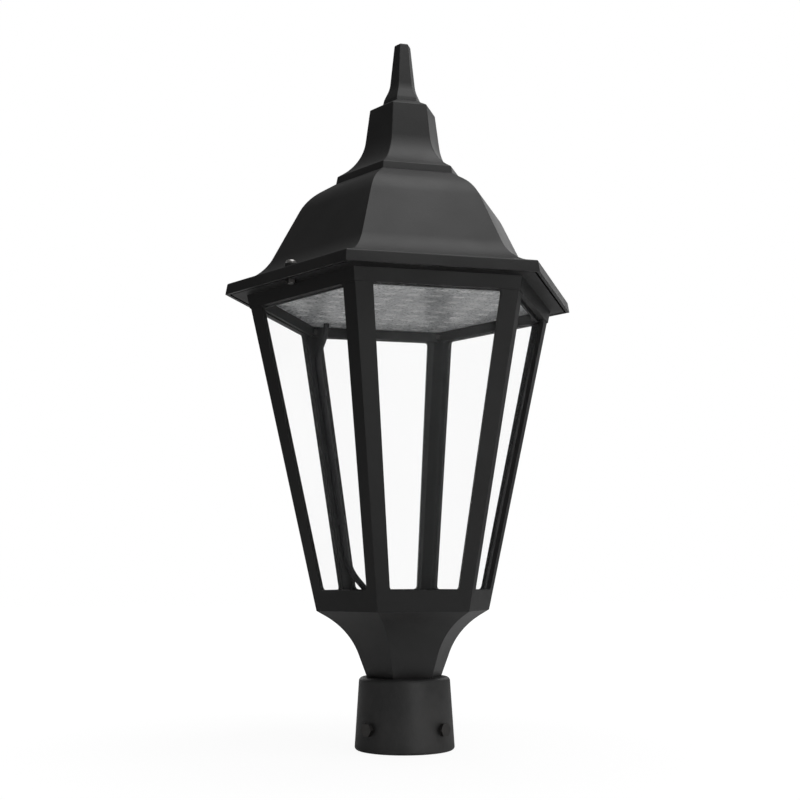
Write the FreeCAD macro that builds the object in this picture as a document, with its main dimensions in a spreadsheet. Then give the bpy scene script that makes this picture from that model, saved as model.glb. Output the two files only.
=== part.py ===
import FreeCAD, Part
import math
import os
import re
import Sketcher

# Post top lantern: a six-sided cage on a round collar, closed by a hinged bell roof.
# Millimetres, +Z up, origin at the centre of the collar's bottom face.
# Faces look to azimuth -90, -30, 30, 90, 150 and -150, corners lie between them.
# "Apothem" is the distance from the axis to a flat of a six-sided outline.

SIDES = 6
CORNER_STEP = 360 / SIDES
FACE_TURN = CORNER_STEP / 2
LATCH_AZIMUTH = -150
HINGE_AZIMUTH = 30
CABLE_AZIMUTH = 120

SIZES = [
    # Collar and its clamp screws
    ("collar_height", 65.0), ("collar_foot_radius", 46.1), ("collar_top_radius", 42.0),
    ("collar_foot_round", 2.6), ("collar_top_round", 3.8), ("socket_radius", 39.25),
    ("socket_depth", 57.0), ("cable_hole", 12.0), ("set_screw_height", 21.0),
    ("set_screw_azimuth", 33.0), ("set_screw_radius", 3.18), ("set_screw_flats", 11.1),
    ("set_screw_head", 3.6), ("set_screw_standoff", 2.4), ("thread_clearance", 0.08),
    ("collar_bolt_circle", 19.5), ("collar_bolt_radius", 2.5), ("collar_bolt_head_radius", 4.3),
    ("collar_bolt_head", 3.2), ("collar_bolt_bite", 6.5), ("screw_end_gap", 0.5),
    ("screw_tip_gap", 0.2), ("bush_fit", 0.2),
    # Bowl
    ("bowl_height", 60.5), ("bowl_neck", 30.7), ("bowl_bend", 45.1), ("bowl_bend_rise", 43.1),
    ("bowl_bend_round", 66.0), ("bowl_inner_round", 48.0), ("bowl_wall", 3.0),
    ("bowl_floor", 4.0), ("bowl_flange", 4.0), ("flange_width", 21.9),
    ("bowl_screw_inset", 15.9), ("bowl_screw_radius", 2.0), ("small_head_radius", 3.8),
    ("small_head", 2.4), ("base_plate_thickness", 2.0), ("base_plate_gap", 0.4),
    # Cage
    ("cage_height", 292.5), ("cage_bottom", 71.9), ("cage_top", 129.9), ("bottom_rail", 18.8),
    ("top_rail", 12.0), ("rail_proud", 1.0), ("ring_web", 4.0), ("inner_lip", 2.2),
    ("post_wall", 4.0), ("post_rib", 8.0), ("leg_bottom", 12.4), ("leg_top", 15.8),
    ("window_corner", 2.8), ("tongue_reach", 8.2), ("tongue_clearance", 0.15),
    ("bottom_groove", 8.0), ("top_groove", 7.5), ("pane_thickness", 3.0),
    ("pane_clearance", 0.25), ("pane_edge", 9.6), ("pane_top_room", 2.0),
    ("post_screw_radius", 1.5), ("post_screw_head_radius", 2.8), ("post_screw_head", 1.8),
    ("post_screw_inset", 4.4), ("post_screw_seat", 2.3), ("tongue_gap", 0.4),
    ("corner_flare_share", 0.3),
    # Top flange and light unit
    ("flange_thickness", 3.5), ("flange_overhang", 13.6), ("lens_seat_cover", 7.7),
    ("lens_drop", 2.0), ("lens_thickness", 3.0), ("lens_gap", 0.3), ("lens_gasket_width", 5.8),
    ("tray_rim_gap", 0.5), ("tray_sheet", 1.5), ("tray_step", 5.5), ("tray_draft", 3.0),
    ("tray_depth", 11.5), ("tray_hole", 12.0), ("tray_screw_inset", 4.2),
    ("board_room", 12.0), ("board_thickness", 1.6), ("board_gap", 3.0), ("board_hole", 14.0),
    ("spacer_radius", 3.5), ("spacer_inset", 8.0), ("spacer_hole", 1.5), ("chip_pitch", 22.0),
    ("chip_side", 5.0), ("chip_height", 1.0), ("chip_margin", 12.0),
    ("driver_length", 108.0), ("driver_width", 52.0), ("driver_height", 28.0),
    ("driver_foot_length", 128.0), ("driver_foot_width", 26.0), ("driver_foot", 3.0),
    ("driver_screw_reach", 59.0), ("driver_screw_ease", 0.1), ("driver_offset", -20.0),
    ("block_length", 30.0), ("block_width", 16.0), ("block_height", 22.0), ("block_inset", 35.0),
    ("block_screw_spread", 10.0),
    ("cable_radius", 3.0), ("cable_clearance", 0.3), ("cable_entry", 17.0), ("lead_radius", 1.8),
    ("lead_height", 6.0), ("lead_place", 25.0), ("lead_reach", 12.0), ("grommet_wall", 2.2),
    ("grommet_lip", 2.0), ("grommet_lip_thickness", 1.5), ("clip_wall", 1.2), ("clip_length", 8.0),
    ("clip_fit", 0.05), ("cable_post_gap", 1.3), ("cable_inset", 5.0),
    # Roof
    ("rim_overlap", 0.2), ("rim_margin", 5.0), ("fascia_height", 10.6), ("fascia_lean", 1.6),
    ("fascia_round", 2.0), ("roof_wall", 3.0), ("brim_width", 28.9), ("skirt_rise", 16.9),
    ("skirt_round", 46.0), ("skirt_inner_round", 26.0), ("shoulder", 82.7),
    ("shoulder_rise", 97.9), ("shoulder_round", 54.0), ("roof_top", 46.6),
    ("roof_top_rise", 123.2), ("roof_hole", 6.0), ("ledge_width", 16.0), ("ledge_rise", 6.7),
    ("roof_gasket_inset", 0.3), ("roof_gasket_width", 3.0), ("roof_gasket_gap", 0.3),
    ("cap_rim", 58.0), ("cap_fascia", 56.7), ("cap_fascia_rise", 122.7), ("cap_fascia_round", 1.4),
    ("cap_waist", 35.2), ("cap_waist_rise", 137.7), ("cap_waist_round", 50.0),
    ("cap_inner_round", 40.0), ("cap_shoulder", 28.8), ("cap_shoulder_rise", 193.2),
    ("cap_shoulder_round", 2.0), ("cap_top", 17.2), ("cap_top_rise", 200.5), ("cap_wall", 3.0),
    ("cap_hole", 5.0), ("finial_bead", 16.4), ("finial_bead_rise", 4.2), ("finial_bead_round", 12.0),
    ("finial_neck", 11.3), ("finial_neck_rise", 16.7), ("finial_neck_round", 30.0),
    ("finial_tip", 6.9), ("finial_height", 63.7), ("finial_tip_round", 2.4),
    ("rod_radius", 4.0), ("rod_grip", 45.0), ("rod_tail", 12.0), ("rod_clearance", 0.1),
    ("rod_headroom", 0.5), ("nut_flats", 13.0), ("nut_height", 6.5), ("nut_fit", 0.05),
    ("washer_radius", 11.0), ("washer_thickness", 1.6), ("washer_fit", 0.3),
    # Latch screw and hinge
    ("latch_inset", 5.0), ("latch_radius", 2.5), ("latch_slide", 0.1), ("latch_play", 0.45),
    ("latch_head_radius", 4.8), ("latch_head", 3.4), ("latch_head_round", 1.6),
    ("latch_cross", 5.4), ("latch_cross_width", 1.1), ("latch_cross_depth", 1.6),
    ("boss_radius", 6.2), ("boss_rise", 14.6), ("latch_tip", 3.5), ("latch_nut_flats", 9.0),
    ("latch_nut_height", 3.0),
    ("hinge_standoff", 3.9), ("hinge_drop", 0.2), ("knuckle_radius", 3.2), ("pin_radius", 1.6),
    ("pin_fit", 0.05), ("pin_length", 52.0), ("hinge_width", 50.0), ("centre_knuckle", 20.0),
    ("knuckle_gap", 0.3), ("leaf_thickness", 2.4), ("leaf_gap", 1.5), ("leaf_step", 0.2),
    ("hinge_screw_spread", 17.0), ("hinge_screw_radius", 1.5), ("hinge_screw_inset", 5.5),
    ("hinge_screw_rise", 7.1), ("hinge_screw_bite", 9.0), ("leaf_bend_start", 0.5),
    ("leaf_bend_end", 1.0), ("leaf_low_gap", 0.5), ("leaf_high_gap", 0.6),
]

doc = FreeCAD.newDocument("PostTopLantern")
sheet = doc.addObject("Spreadsheet::Sheet", "Sizes")
places = doc.addObject("App::VarSet", "Places")
size_names = set()
place_names = set()
nodes = {}

for row, (alias, value) in enumerate(SIZES, 1):
    sheet.set(f"A{row}", alias)
    sheet.set(f"B{row}", str(value))
    sheet.setAlias(f"B{row}", alias)
    size_names.add(alias)
doc.recompute()


# Expressions and places

def full(text):
    """Expression with each size and place given its document name."""
    def known(found):
        word = found.group(0)
        if word in size_names:
            return "Sizes." + word
        if word in place_names:
            return "Places." + word
        return word
    return re.sub(r"[a-z][a-z_0-9]*", known, str(text))


def number(text):
    """Present value of an expression."""
    value = sheet.evalExpression(full(text))
    return float(getattr(value, "Value", value))


def place(name, text):
    """Keep a worked-out place under its own name."""
    places.addProperty("App::PropertyFloat", name, "Places")
    places.setExpression(name, full(text))
    doc.recompute([places])
    place_names.add(name)
    return name


def bind(target, path, text):
    """Tie a property or constraint to an expression."""
    target.setExpression(path, full(text))


def add(first, second):
    return f"({first}) + ({second})"


def less(first, second):
    return f"({first}) - ({second})"


def vector(x, y, z=0):
    return FreeCAD.Vector(number(x), number(y), number(z))


def turned(azimuth, radius=0, height=0):
    """Placement turned about the lantern's axis and moved outwards and up."""
    turn = FreeCAD.Rotation(FreeCAD.Vector(0, 0, 1), azimuth)
    return FreeCAD.Placement(turn.multVec(vector(radius, 0, height)), turn)


def inset(name, before, here, after, wall):
    """Corner of an outline moved to its left by a wall, both edges kept parallel."""
    one_x = place(name + "_one_x", less(here[0], before[0]))
    one_z = place(name + "_one_z", less(here[1], before[1]))
    two_x = place(name + "_two_x", less(after[0], here[0]))
    two_z = place(name + "_two_z", less(after[1], here[1]))
    one = place(name + "_one", f"hypot({one_x}; {one_z})")
    two = place(name + "_two", f"hypot({two_x}; {two_z})")
    dot = place(name + "_dot", f"({one_x} * {two_x} + {one_z} * {two_z}) / ({one} * {two})")
    reach = place(name + "_reach", f"({wall}) / (1 + {dot})")
    x = place(name + "_x", f"({here[0]}) - {reach} * ({one_z} / {one} + {two_z} / {two})")
    z = place(name + "_z", f"({here[1]}) + {reach} * ({one_x} / {one} + {two_x} / {two})")
    return x, z


def along(point, start, end, z):
    """Horizontal place at height z on a line through point, parallel to start-end."""
    lean = f"(({end[0]}) - ({start[0]})) / (({end[1]}) - ({start[1]}))"
    return f"({point[0]}) + (({z}) - ({point[1]})) * {lean}"


# Sketches

def origin_part(body, role):
    return [part for part in body.Origin.OriginFeatures if part.Role == role][0]


def fix(sketch, kind, geometry, point, text):
    """Distance of a point from the sketch's origin, tied to an expression."""
    index = sketch.addConstraint(
        Sketcher.Constraint(kind, -1, 1, geometry, point, number(text)))
    bind(sketch, f"Constraints[{index}]", text)


def new_sketch(body, name, role, height=0):
    sketch = body.newObject("Sketcher::SketchObject", name)
    sketch.AttachmentSupport = [(origin_part(body, role), "")]
    sketch.MapMode = "FlatFace"
    if height:
        bind(sketch, "AttachmentOffset.Base.z", height)
    return sketch


def draw_outline(sketch, corners):
    """Closed outline; a corner with a third value is rounded to that radius."""
    count = len(corners)
    spots = [vector(corner[0], corner[1]) for corner in corners]
    ends = []
    for i, corner in enumerate(corners):
        if len(corner) < 3:
            ends.append((spots[i], spots[i], None, None))
            continue
        back = (spots[i - 1] - spots[i]).normalize()
        ahead = (spots[(i + 1) % count] - spots[i]).normalize()
        half = back.getAngle(ahead) / 2
        radius = number(corner[2])
        setback = radius / math.tan(half)
        centre = spots[i] + (back + ahead).normalize() * (radius / math.sin(half))
        ends.append((spots[i] + back * setback, spots[i] + ahead * setback, centre, radius))
    for i in range(count):
        sketch.addGeometry(Part.LineSegment(ends[i][1], ends[(i + 1) % count][0]), False)
    for i, corner in enumerate(corners):
        before = (i - 1) % count
        entry, leave, centre, radius = ends[i]
        if centre is None:
            sketch.addConstraint(Sketcher.Constraint("Coincident", before, 2, i, 1))
            fix(sketch, "DistanceX", i, 1, corner[0])
            fix(sketch, "DistanceY", i, 1, corner[1])
            continue
        first = math.atan2(entry.y - centre.y, entry.x - centre.x)
        last = math.atan2(leave.y - centre.y, leave.x - centre.x)
        anticlockwise = (last - first) % (2 * math.pi) < math.pi
        start, stop = (first, last) if anticlockwise else (last, first)
        circle = Part.Circle(centre, FreeCAD.Vector(0, 0, 1), radius)
        arc = sketch.addGeometry(Part.ArcOfCircle(circle, start, stop), False)
        point = sketch.addGeometry(Part.Point(spots[i]), True)
        entry_end, leave_end = (1, 2) if anticlockwise else (2, 1)
        sketch.addConstraint(Sketcher.Constraint("Tangent", before, 2, arc, entry_end))
        sketch.addConstraint(Sketcher.Constraint("Tangent", arc, leave_end, i, 1))
        bend = sketch.addConstraint(Sketcher.Constraint("Radius", arc, radius))
        bind(sketch, f"Constraints[{bend}]", corner[2])
        sketch.addConstraint(Sketcher.Constraint("PointOnObject", point, 1, before))
        sketch.addConstraint(Sketcher.Constraint("PointOnObject", point, 1, i))
        fix(sketch, "DistanceX", point, 1, corner[0])
        fix(sketch, "DistanceY", point, 1, corner[1])


def draw_circle(sketch, x, y, radius):
    circle = Part.Circle(vector(x, y), FreeCAD.Vector(0, 0, 1), number(radius))
    index = sketch.addGeometry(circle, False)
    bend = sketch.addConstraint(Sketcher.Constraint("Radius", index, number(radius)))
    bind(sketch, f"Constraints[{bend}]", radius)
    fix(sketch, "DistanceX", index, 3, x)
    fix(sketch, "DistanceY", index, 3, y)


def hexagon(apothem):
    """Corners of a six-sided outline with a flat across +X."""
    corner = f"({apothem}) / cos({FACE_TURN} * 1 deg)"
    turns = [FACE_TURN + CORNER_STEP * k for k in range(SIDES)]
    return [(f"{corner} * cos({turn} * 1 deg)", f"{corner} * sin({turn} * 1 deg)")
            for turn in turns]


# Bodies

def new_body(name):
    body = doc.addObject("PartDesign::Body", name)
    body.Label = name
    return body


def six_sided(name, corners):
    """Six-sided casting: one section carried round a hexagon with mitred corners."""
    body = new_body(name)
    spine = new_sketch(body, name + "_path", "XY_Plane")
    draw_outline(spine, hexagon(corners[0][0]))
    section = new_sketch(body, name + "_section", "XZ_Plane")
    draw_outline(section, corners)
    doc.recompute()
    sweep = body.newObject("PartDesign::AdditivePipe", name + "_sweep")
    sweep.Profile = section
    sweep.Spine = (spine, [])
    sweep.Transition = "Right corner"
    body.Placement = turned(FACE_TURN)
    return body


def revolved(name, corners):
    """Turned piece about its own Z axis."""
    body = new_body(name)
    section = new_sketch(body, name + "_section", "XZ_Plane")
    draw_outline(section, corners)
    turn = body.newObject("PartDesign::Revolution", name + "_turn")
    turn.Profile = section
    turn.ReferenceAxis = (origin_part(body, "Z_Axis"), [""])
    turn.Angle = 360
    return body


def add_pad(body, name, corners, start, height):
    sketch = new_sketch(body, name + "_outline", "XY_Plane", start)
    draw_outline(sketch, corners)
    pad = body.newObject("PartDesign::Pad", name)
    pad.Profile = sketch
    bind(pad, "Length", height)
    return pad


def flat(name, corners, start, height, holes=()):
    """Flat piece of an outline, with round holes through it."""
    body = new_body(name)
    sketch = new_sketch(body, name + "_outline", "XY_Plane", start)
    draw_outline(sketch, corners)
    for x, y, radius in holes:
        draw_circle(sketch, x, y, radius)
    pad = body.newObject("PartDesign::Pad", name + "_pad")
    pad.Profile = sketch
    bind(pad, "Length", height)
    return body


def rod(name, radius, length, where):
    """Plain cylinder; its place is given by where."""
    piece = doc.addObject("Part::Cylinder", name)
    bind(piece, "Radius", radius)
    bind(piece, "Height", length)
    piece.Placement = where
    return piece


def joined(name, pieces):
    whole = doc.addObject("Part::MultiFuse", name)
    whole.Shapes = pieces
    return whole


def gathered(name, pieces):
    """Several separate solids under one name."""
    whole = doc.addObject("Part::Compound", name)
    whole.Links = pieces
    return whole


def cut_from(name, base, tools):
    piece = doc.addObject("Part::Cut", name)
    piece.Base = base
    piece.Tool = tools[0] if len(tools) == 1 else gathered(name + "_tools", tools)
    return piece


def copy_at(name, pattern, where):
    """The same piece again at another place."""
    piece = gathered(name, [pattern])
    piece.Placement = where
    return piece


def screw_pattern(name, radius, length, head_radius, head):
    """Pan head screw pointing down, the underside of its head at zero."""
    edge = f"{head} * 0.35"
    return revolved(name, [
        ("0", f"-({length})"), (radius, f"-({length})"), (radius, "0"), (head_radius, "0"),
        (head_radius, head, edge), ("0", head)])


def node(name, piece):
    """Name a finished piece as one of the lantern's nodes."""
    piece.Label = name
    nodes[name] = piece
    return piece


def ring_of(name, pattern, azimuths, radius, height):
    """Identical fasteners round the axis, as one node of separate solids."""
    copies = [copy_at(f"{name}_{i}", pattern, turned(azimuth, radius, height))
              for i, azimuth in enumerate(azimuths, 1)]
    return node(name, gathered(name, copies))


def face_azimuths(first=HINGE_AZIMUTH):
    return [first + CORNER_STEP * k for k in range(SIDES)]


def corner_azimuths():
    return [CORNER_STEP * k for k in range(SIDES)]


# Places shared by several pieces

place("cage_z", "collar_height + bowl_height")
place("rail_z", "cage_z + bottom_rail")
place("top_z", "cage_z + cage_height")
place("under_z", "top_z - top_rail")
place("flange_z", "top_z + flange_thickness")
place("seat_z", "top_z - lens_drop")
place("lens_top_z", "seat_z + lens_thickness")
place("rim_z", "top_z - rim_overlap")
place("ledge_z", "rim_z + ledge_rise")
place("tray_z", "flange_z + tray_sheet + tray_depth")
place("web_z", "cage_z + ring_web")
place("plate_z", "web_z + base_plate_thickness")
place("lean", "(cage_top - cage_bottom) / cage_height")
place("tilt", "sqrt(1 + lean * lean)")
place("lip", "(post_wall + pane_clearance) * tilt")
place("groove", "(pane_thickness + 2 * pane_clearance) * tilt")
place("rail_depth", "lip + groove + inner_lip")
place("flange_opening", "cage_bottom - flange_width")
place("bowl_screw_circle", "cage_bottom - bowl_screw_inset")
place("flange_reach", "cage_top + flange_overhang")
place("roof_rim", "flange_reach + rim_margin")
place("skirt", "roof_rim - brim_width")
place("ledge_inner", "roof_rim - ledge_width")
place("tray_rim", "ledge_inner - tray_rim_gap")
place("tray_screw_circle", "tray_rim - tray_screw_inset")
place("lens_recess", "tray_rim - lens_seat_cover")
place("lens_gasket_inner", "lens_recess - lens_gasket_width")
place("tray_wall", "lens_gasket_inner - tray_step")
place("tray_wall_top", "tray_wall - tray_draft")
place("board_radius", "tray_wall_top - board_room")
place("spacer_circle", "board_radius - spacer_inset")
place("chip_limit", "board_radius - chip_margin")
place("cable_offset", "tray_wall_top + cable_inset")
place("block_place", "cable_offset - block_inset")
place("latch_circle", "flange_reach - latch_inset")
place("hinge_z", "rim_z - hinge_drop")
place("hinge_reach", "roof_rim + hinge_standoff")
place("hinge_screw_place", "flange_reach - hinge_screw_inset")
place("leaf_inner", "cage_top + rail_proud + leaf_gap")


def face(z):
    """Apothem of the cage's outer faces at height z."""
    return f"(cage_bottom + (({z}) - cage_z) * lean)"


def corner(z):
    """Distance of the cage's outer corners from the axis at height z."""
    return f"({face(z)} / cos({FACE_TURN} * 1 deg))"


# Collar, its screws and the bowl

def make_collar():
    body = revolved("collar_casting", [
        ("socket_radius", "0"), ("collar_foot_radius", "0", "collar_foot_round"),
        ("collar_top_radius", "collar_height", "collar_top_round"),
        ("cable_hole", "collar_height"), ("cable_hole", "socket_depth"),
        ("socket_radius", "socket_depth")])
    outwards = FreeCAD.Rotation(FreeCAD.Vector(0, 1, 0), 90)
    tools = []
    for i, azimuth in enumerate(set_screw_azimuths(), 1):
        where = turned(azimuth, "socket_radius - 3", "set_screw_height")
        where.Rotation = where.Rotation.multiply(outwards)
        tools.append(rod(f"set_screw_hole_{i}", "set_screw_radius + thread_clearance",
                         "collar_foot_radius - socket_radius + 6", where))
    for i, azimuth in enumerate(bolt_azimuths(), 1):
        where = turned(azimuth, "collar_bolt_circle", "collar_height - collar_bolt_bite")
        tools.append(rod(f"collar_bolt_hole_{i}", "collar_bolt_radius + thread_clearance",
                         "collar_bolt_bite + 1", where))
    return node("collar", cut_from("collar", body, tools))


def set_screw_azimuths():
    first = number("set_screw_azimuth")
    return [first + 90 * k for k in range(4)]


def bolt_azimuths():
    return [CABLE_AZIMUTH - 60 + 120 * k for k in range(3)]


def make_set_screws():
    """Hex head screws; at rest their tips are flush with the socket wall."""
    place("collar_lean", "(collar_foot_radius - collar_top_radius) / collar_height")
    place("screw_face", "collar_foot_radius - collar_lean * set_screw_height")
    shank = place("shank", "screw_face + set_screw_standoff - socket_radius")
    inwards = FreeCAD.Rotation(FreeCAD.Vector(0, 1, 0), 90)
    for i, azimuth in enumerate(set_screw_azimuths(), 1):
        body = new_body(f"set_screw_{i}")
        add_pad(body, f"set_screw_{i}_head", hexagon("set_screw_flats / 2"), "shank",
                "set_screw_head")
        sketch = new_sketch(body, f"set_screw_{i}_round", "XY_Plane")
        draw_circle(sketch, "0", "0", "set_screw_radius")
        pad = body.newObject("PartDesign::Pad", f"set_screw_{i}_shank")
        pad.Profile = sketch
        bind(pad, "Length", shank)
        where = turned(azimuth, "socket_radius", "set_screw_height")
        where.Rotation = where.Rotation.multiply(inwards)
        body.Placement = where
        node(f"set_screw_{i}", body)


def make_bowl():
    neck = ("bowl_neck", "collar_height")
    bend = ("bowl_bend", "collar_height + bowl_bend_rise")
    mouth = ("cage_bottom", "cage_z")
    inner = inset("bowl_inner", neck, bend, mouth, "bowl_wall")
    floor_z = "collar_height + bowl_floor"
    under = "cage_z - bowl_flange"
    body = six_sided("bowl_casting", [
        neck, (*bend, "bowl_bend_round"), mouth, ("flange_opening", "cage_z"),
        ("flange_opening", under), (along(inner, bend, mouth, under), under),
        (*inner, "bowl_inner_round"), (along(inner, neck, bend, floor_z), floor_z),
        ("cable_hole", floor_z), ("cable_hole", "collar_height")])
    tools = [rod(f"bowl_floor_hole_{i}", "collar_bolt_radius + thread_clearance",
                 "bowl_floor + 2", turned(azimuth, "collar_bolt_circle", "collar_height - 1"))
             for i, azimuth in enumerate(bolt_azimuths(), 1)]
    tools += flange_holes("bowl")
    node("bowl", cut_from("bowl", body, tools))
    pattern = screw_pattern("collar_bolt", "collar_bolt_radius",
                            "bowl_floor + collar_bolt_bite - screw_end_gap",
                            "collar_bolt_head_radius", "collar_bolt_head")
    ring_of("collar_bolts", pattern, bolt_azimuths(), "collar_bolt_circle", floor_z)


def flange_holes(name):
    """Holes for the six screws that join base plate, bottom ring and bowl."""
    return [rod(f"{name}_flange_hole_{i}", "bowl_screw_radius + thread_clearance",
                "base_plate_thickness + ring_web + bowl_flange + 4",
                turned(azimuth, "bowl_screw_circle", "cage_z - bowl_flange - 2"))
            for i, azimuth in enumerate(face_azimuths(), 1)]


# Cage

def post_screw_height(end):
    return "rail_z - post_screw_inset" if end == "lower" else "under_z + post_screw_inset"


def post_screw_start(end):
    """Distance of a post screw's head from the axis."""
    level = post_screw_height(end) if end == "lower" else "under_z"
    return f"({face(level)} - rail_depth) / cos({FACE_TURN} * 1 deg) - post_screw_seat"


def post_screw_length(end):
    tip = f"({face(post_screw_height(end))} - lip) / cos({FACE_TURN} * 1 deg)"
    return less(tip, post_screw_start(end))


def radial(azimuth, radius, height):
    """Placement of a piece whose own -Z points outwards."""
    where = turned(azimuth, radius, height)
    where.Rotation = where.Rotation.multiply(FreeCAD.Rotation(FreeCAD.Vector(0, 1, 0), -90))
    return where


def outward(azimuth, radius, height):
    """Placement of a piece whose own +Z points outwards."""
    where = turned(azimuth, radius, height)
    where.Rotation = where.Rotation.multiply(FreeCAD.Rotation(FreeCAD.Vector(0, 1, 0), 90))
    return where


def post_screw_holes(name, end):
    return [rod(f"{name}_post_hole_{i}", "post_screw_radius + thread_clearance",
                post_screw_length(end),
                outward(azimuth, post_screw_start(end), post_screw_height(end)))
            for i, azimuth in enumerate(corner_azimuths(), 1)]


def make_post_screws():
    for end in ("lower", "upper"):
        pattern = screw_pattern(f"post_screw_{end}", "post_screw_radius",
                                less(post_screw_length(end), "screw_tip_gap"),
                                "post_screw_head_radius", "post_screw_head")
        name = f"post_screws_{end}"
        copies = [copy_at(f"{name}_{i}", pattern,
                          radial(azimuth, post_screw_start(end), post_screw_height(end)))
                  for i, azimuth in enumerate(corner_azimuths(), 1)]
        node(name, gathered(name, copies))


def make_bottom_ring():
    floor = "rail_z - bottom_groove"
    body = six_sided("bottom_ring_casting", [
        ("cage_bottom", "cage_z"), (face("rail_z"), "rail_z"),
        (less(face("rail_z"), "lip"), "rail_z"), (less(face(floor), "lip"), floor),
        (less(face(floor), "lip + groove"), floor),
        (less(face("rail_z"), "lip + groove"), "rail_z"),
        (less(face("rail_z"), "rail_depth"), "rail_z"),
        (less(face("web_z"), "rail_depth"), "web_z"), ("flange_opening", "web_z"),
        ("flange_opening", "cage_z")])
    tools = flange_holes("ring") + post_screw_holes("bottom_ring", "lower")
    node("bottom_ring", cut_from("bottom_ring", body, tools))


def make_base_plate():
    plate = f"{face('web_z')} - rail_depth - base_plate_gap"
    body = flat("base_plate_blank", hexagon(plate), "web_z", "base_plate_thickness")
    body.Placement = turned(FACE_TURN)
    tools = flange_holes("plate")
    tools.append(rod("base_plate_cable_hole", "cable_radius + cable_clearance + grommet_wall",
                     "base_plate_thickness + 2",
                     turned(CABLE_AZIMUTH, cable_base_reach(), "web_z - 1")))
    node("base_plate", cut_from("base_plate", body, tools))
    pattern = screw_pattern("bowl_screw", "bowl_screw_radius",
                            "base_plate_thickness + ring_web + bowl_flange",
                            "small_head_radius", "small_head")
    ring_of("bowl_screws", pattern, face_azimuths(), "bowl_screw_circle", "plate_z")


def cable_base_reach():
    """Where the supply cable goes through the base plate."""
    bush = "cable_radius + 2 * cable_clearance + grommet_wall + grommet_lip"
    return f"(flange_opening - ({bush})) / cos({FACE_TURN} * 1 deg)"


def leg_width(z):
    return f"leg_bottom + (leg_top - leg_bottom) * (({z}) - rail_z) / (under_z - rail_z)"


def post_section(z, width):
    """Outline across a post: two legs along the faces and a rib in the inner corner."""
    tip = corner(z)
    wall = "post_wall * tilt"
    half = f"({width})"
    side, rise = "cos(60 * 1 deg)", "sin(60 * 1 deg)"
    leg_x = f"{tip} - {half} * {side}"
    leg_y = f"{half} * {rise}"
    inner_x = f"{leg_x} - {wall} * {rise}"
    inner_y = f"{leg_y} - {wall} * {side}"
    rib_x = f"{tip} - post_rib"
    rib_y = f"(post_rib - {wall} / {rise}) * {rise} / {side}"
    return [(tip, "0"), (leg_x, leg_y), (inner_x, inner_y), (rib_x, rib_y),
            (rib_x, f"-({rib_y})"), (inner_x, f"-({inner_y})"), (leg_x, f"-({leg_y})")]


def tongue_section(z):
    """Chevron that fills the corner of the rail's groove at height z."""
    tip = corner(z)
    side, rise = "cos(60 * 1 deg)", "sin(60 * 1 deg)"
    near, far = "(lip + tongue_clearance)", "(lip + groove - tongue_clearance)"

    def end(depth):
        x = f"{tip} - tongue_reach * {side} - {depth} * {rise}"
        y = f"tongue_reach * {rise} - {depth} * {side}"
        return x, y

    (near_x, near_y), (far_x, far_y) = end(near), end(far)
    return [(f"{tip} - {near} / {rise}", "0"), (near_x, near_y), (far_x, far_y),
            (f"{tip} - {far} / {rise}", "0"), (far_x, f"-({far_y})"),
            (near_x, f"-({near_y})")]


def add_loft(body, name, sections):
    """Ruled body through outlines given as (height, corners)."""
    sketches = []
    for i, (height, corners) in enumerate(sections):
        sketch = new_sketch(body, f"{name}_{i}", "XY_Plane", height)
        draw_outline(sketch, corners)
        sketches.append(sketch)
    loft = body.newObject("PartDesign::AdditiveLoft", name)
    loft.Profile = sketches[0]
    loft.Sections = sketches[1:]
    loft.Ruled = True
    doc.recompute()
    return loft


def make_posts():
    """One post is built at azimuth 0; the others are the same post turned."""
    body = new_body("post_casting")
    flare = "window_corner"
    share = f"{flare} * corner_flare_share"
    levels = [("rail_z", flare), (f"rail_z + {share}", share),
              (f"rail_z + {flare}", "0"), (f"under_z - {flare}", "0"),
              (f"under_z - {share}", share), ("under_z", flare)]
    add_loft(body, "post_legs",
             [(z, post_section(z, add(leg_width(z), extra))) for z, extra in levels])
    foot = "rail_z - bottom_groove + tongue_gap"
    head = "under_z + top_groove - tongue_gap"
    add_loft(body, "post_foot", [(z, tongue_section(z)) for z in ("rail_z", foot)])
    add_loft(body, "post_head", [(z, tongue_section(z)) for z in ("under_z", head)])
    tools = [rod(f"post_{end}_hole", "post_screw_radius + thread_clearance",
                 add(post_screw_length(end), "1"),
                 outward(0, post_screw_start(end), post_screw_height(end)))
             for end in ("lower", "upper")]
    pattern = node("corner_post_1", cut_from("corner_post_1", body, tools))
    for i, azimuth in enumerate(corner_azimuths()[1:], 2):
        name = f"corner_post_{i}"
        node(name, copy_at(name, pattern, turned(azimuth)))


def make_panes():
    """Clear panes in the sloped faces, lifted in through the deeper top groove."""
    low = place("pane_low", "rail_z - bottom_groove + pane_clearance + pane_thickness * lean")
    high = place("pane_high", "under_z + top_groove - pane_top_room")
    half_low = f"{face(low)} * tan(30 * 1 deg) - pane_edge"
    half_high = f"{face(high)} * tan(30 * 1 deg) - pane_edge"
    rise = f"({high} - {low}) * tilt"
    body = flat("pane_blank", [
        (f"-({half_low})", "0"), (half_low, "0"), (half_high, rise),
        (f"-({half_high})", rise)], "0", "pane_thickness")
    lean = number("lean")
    up = FreeCAD.Vector(lean, 0, 1).normalize()
    out = FreeCAD.Vector(1, 0, -lean).normalize()
    stand = FreeCAD.Rotation(FreeCAD.Vector(0, 1, 0), up, out, "ZYX")
    depth = f"{face(low)} - lip - (pane_clearance + pane_thickness) * tilt"
    for i, azimuth in enumerate(face_azimuths(), 1):
        where = turned(azimuth, depth, low)
        where.Rotation = where.Rotation.multiply(stand)
        name = f"pane_{i}"
        node(name, copy_at(name, body, where))


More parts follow.
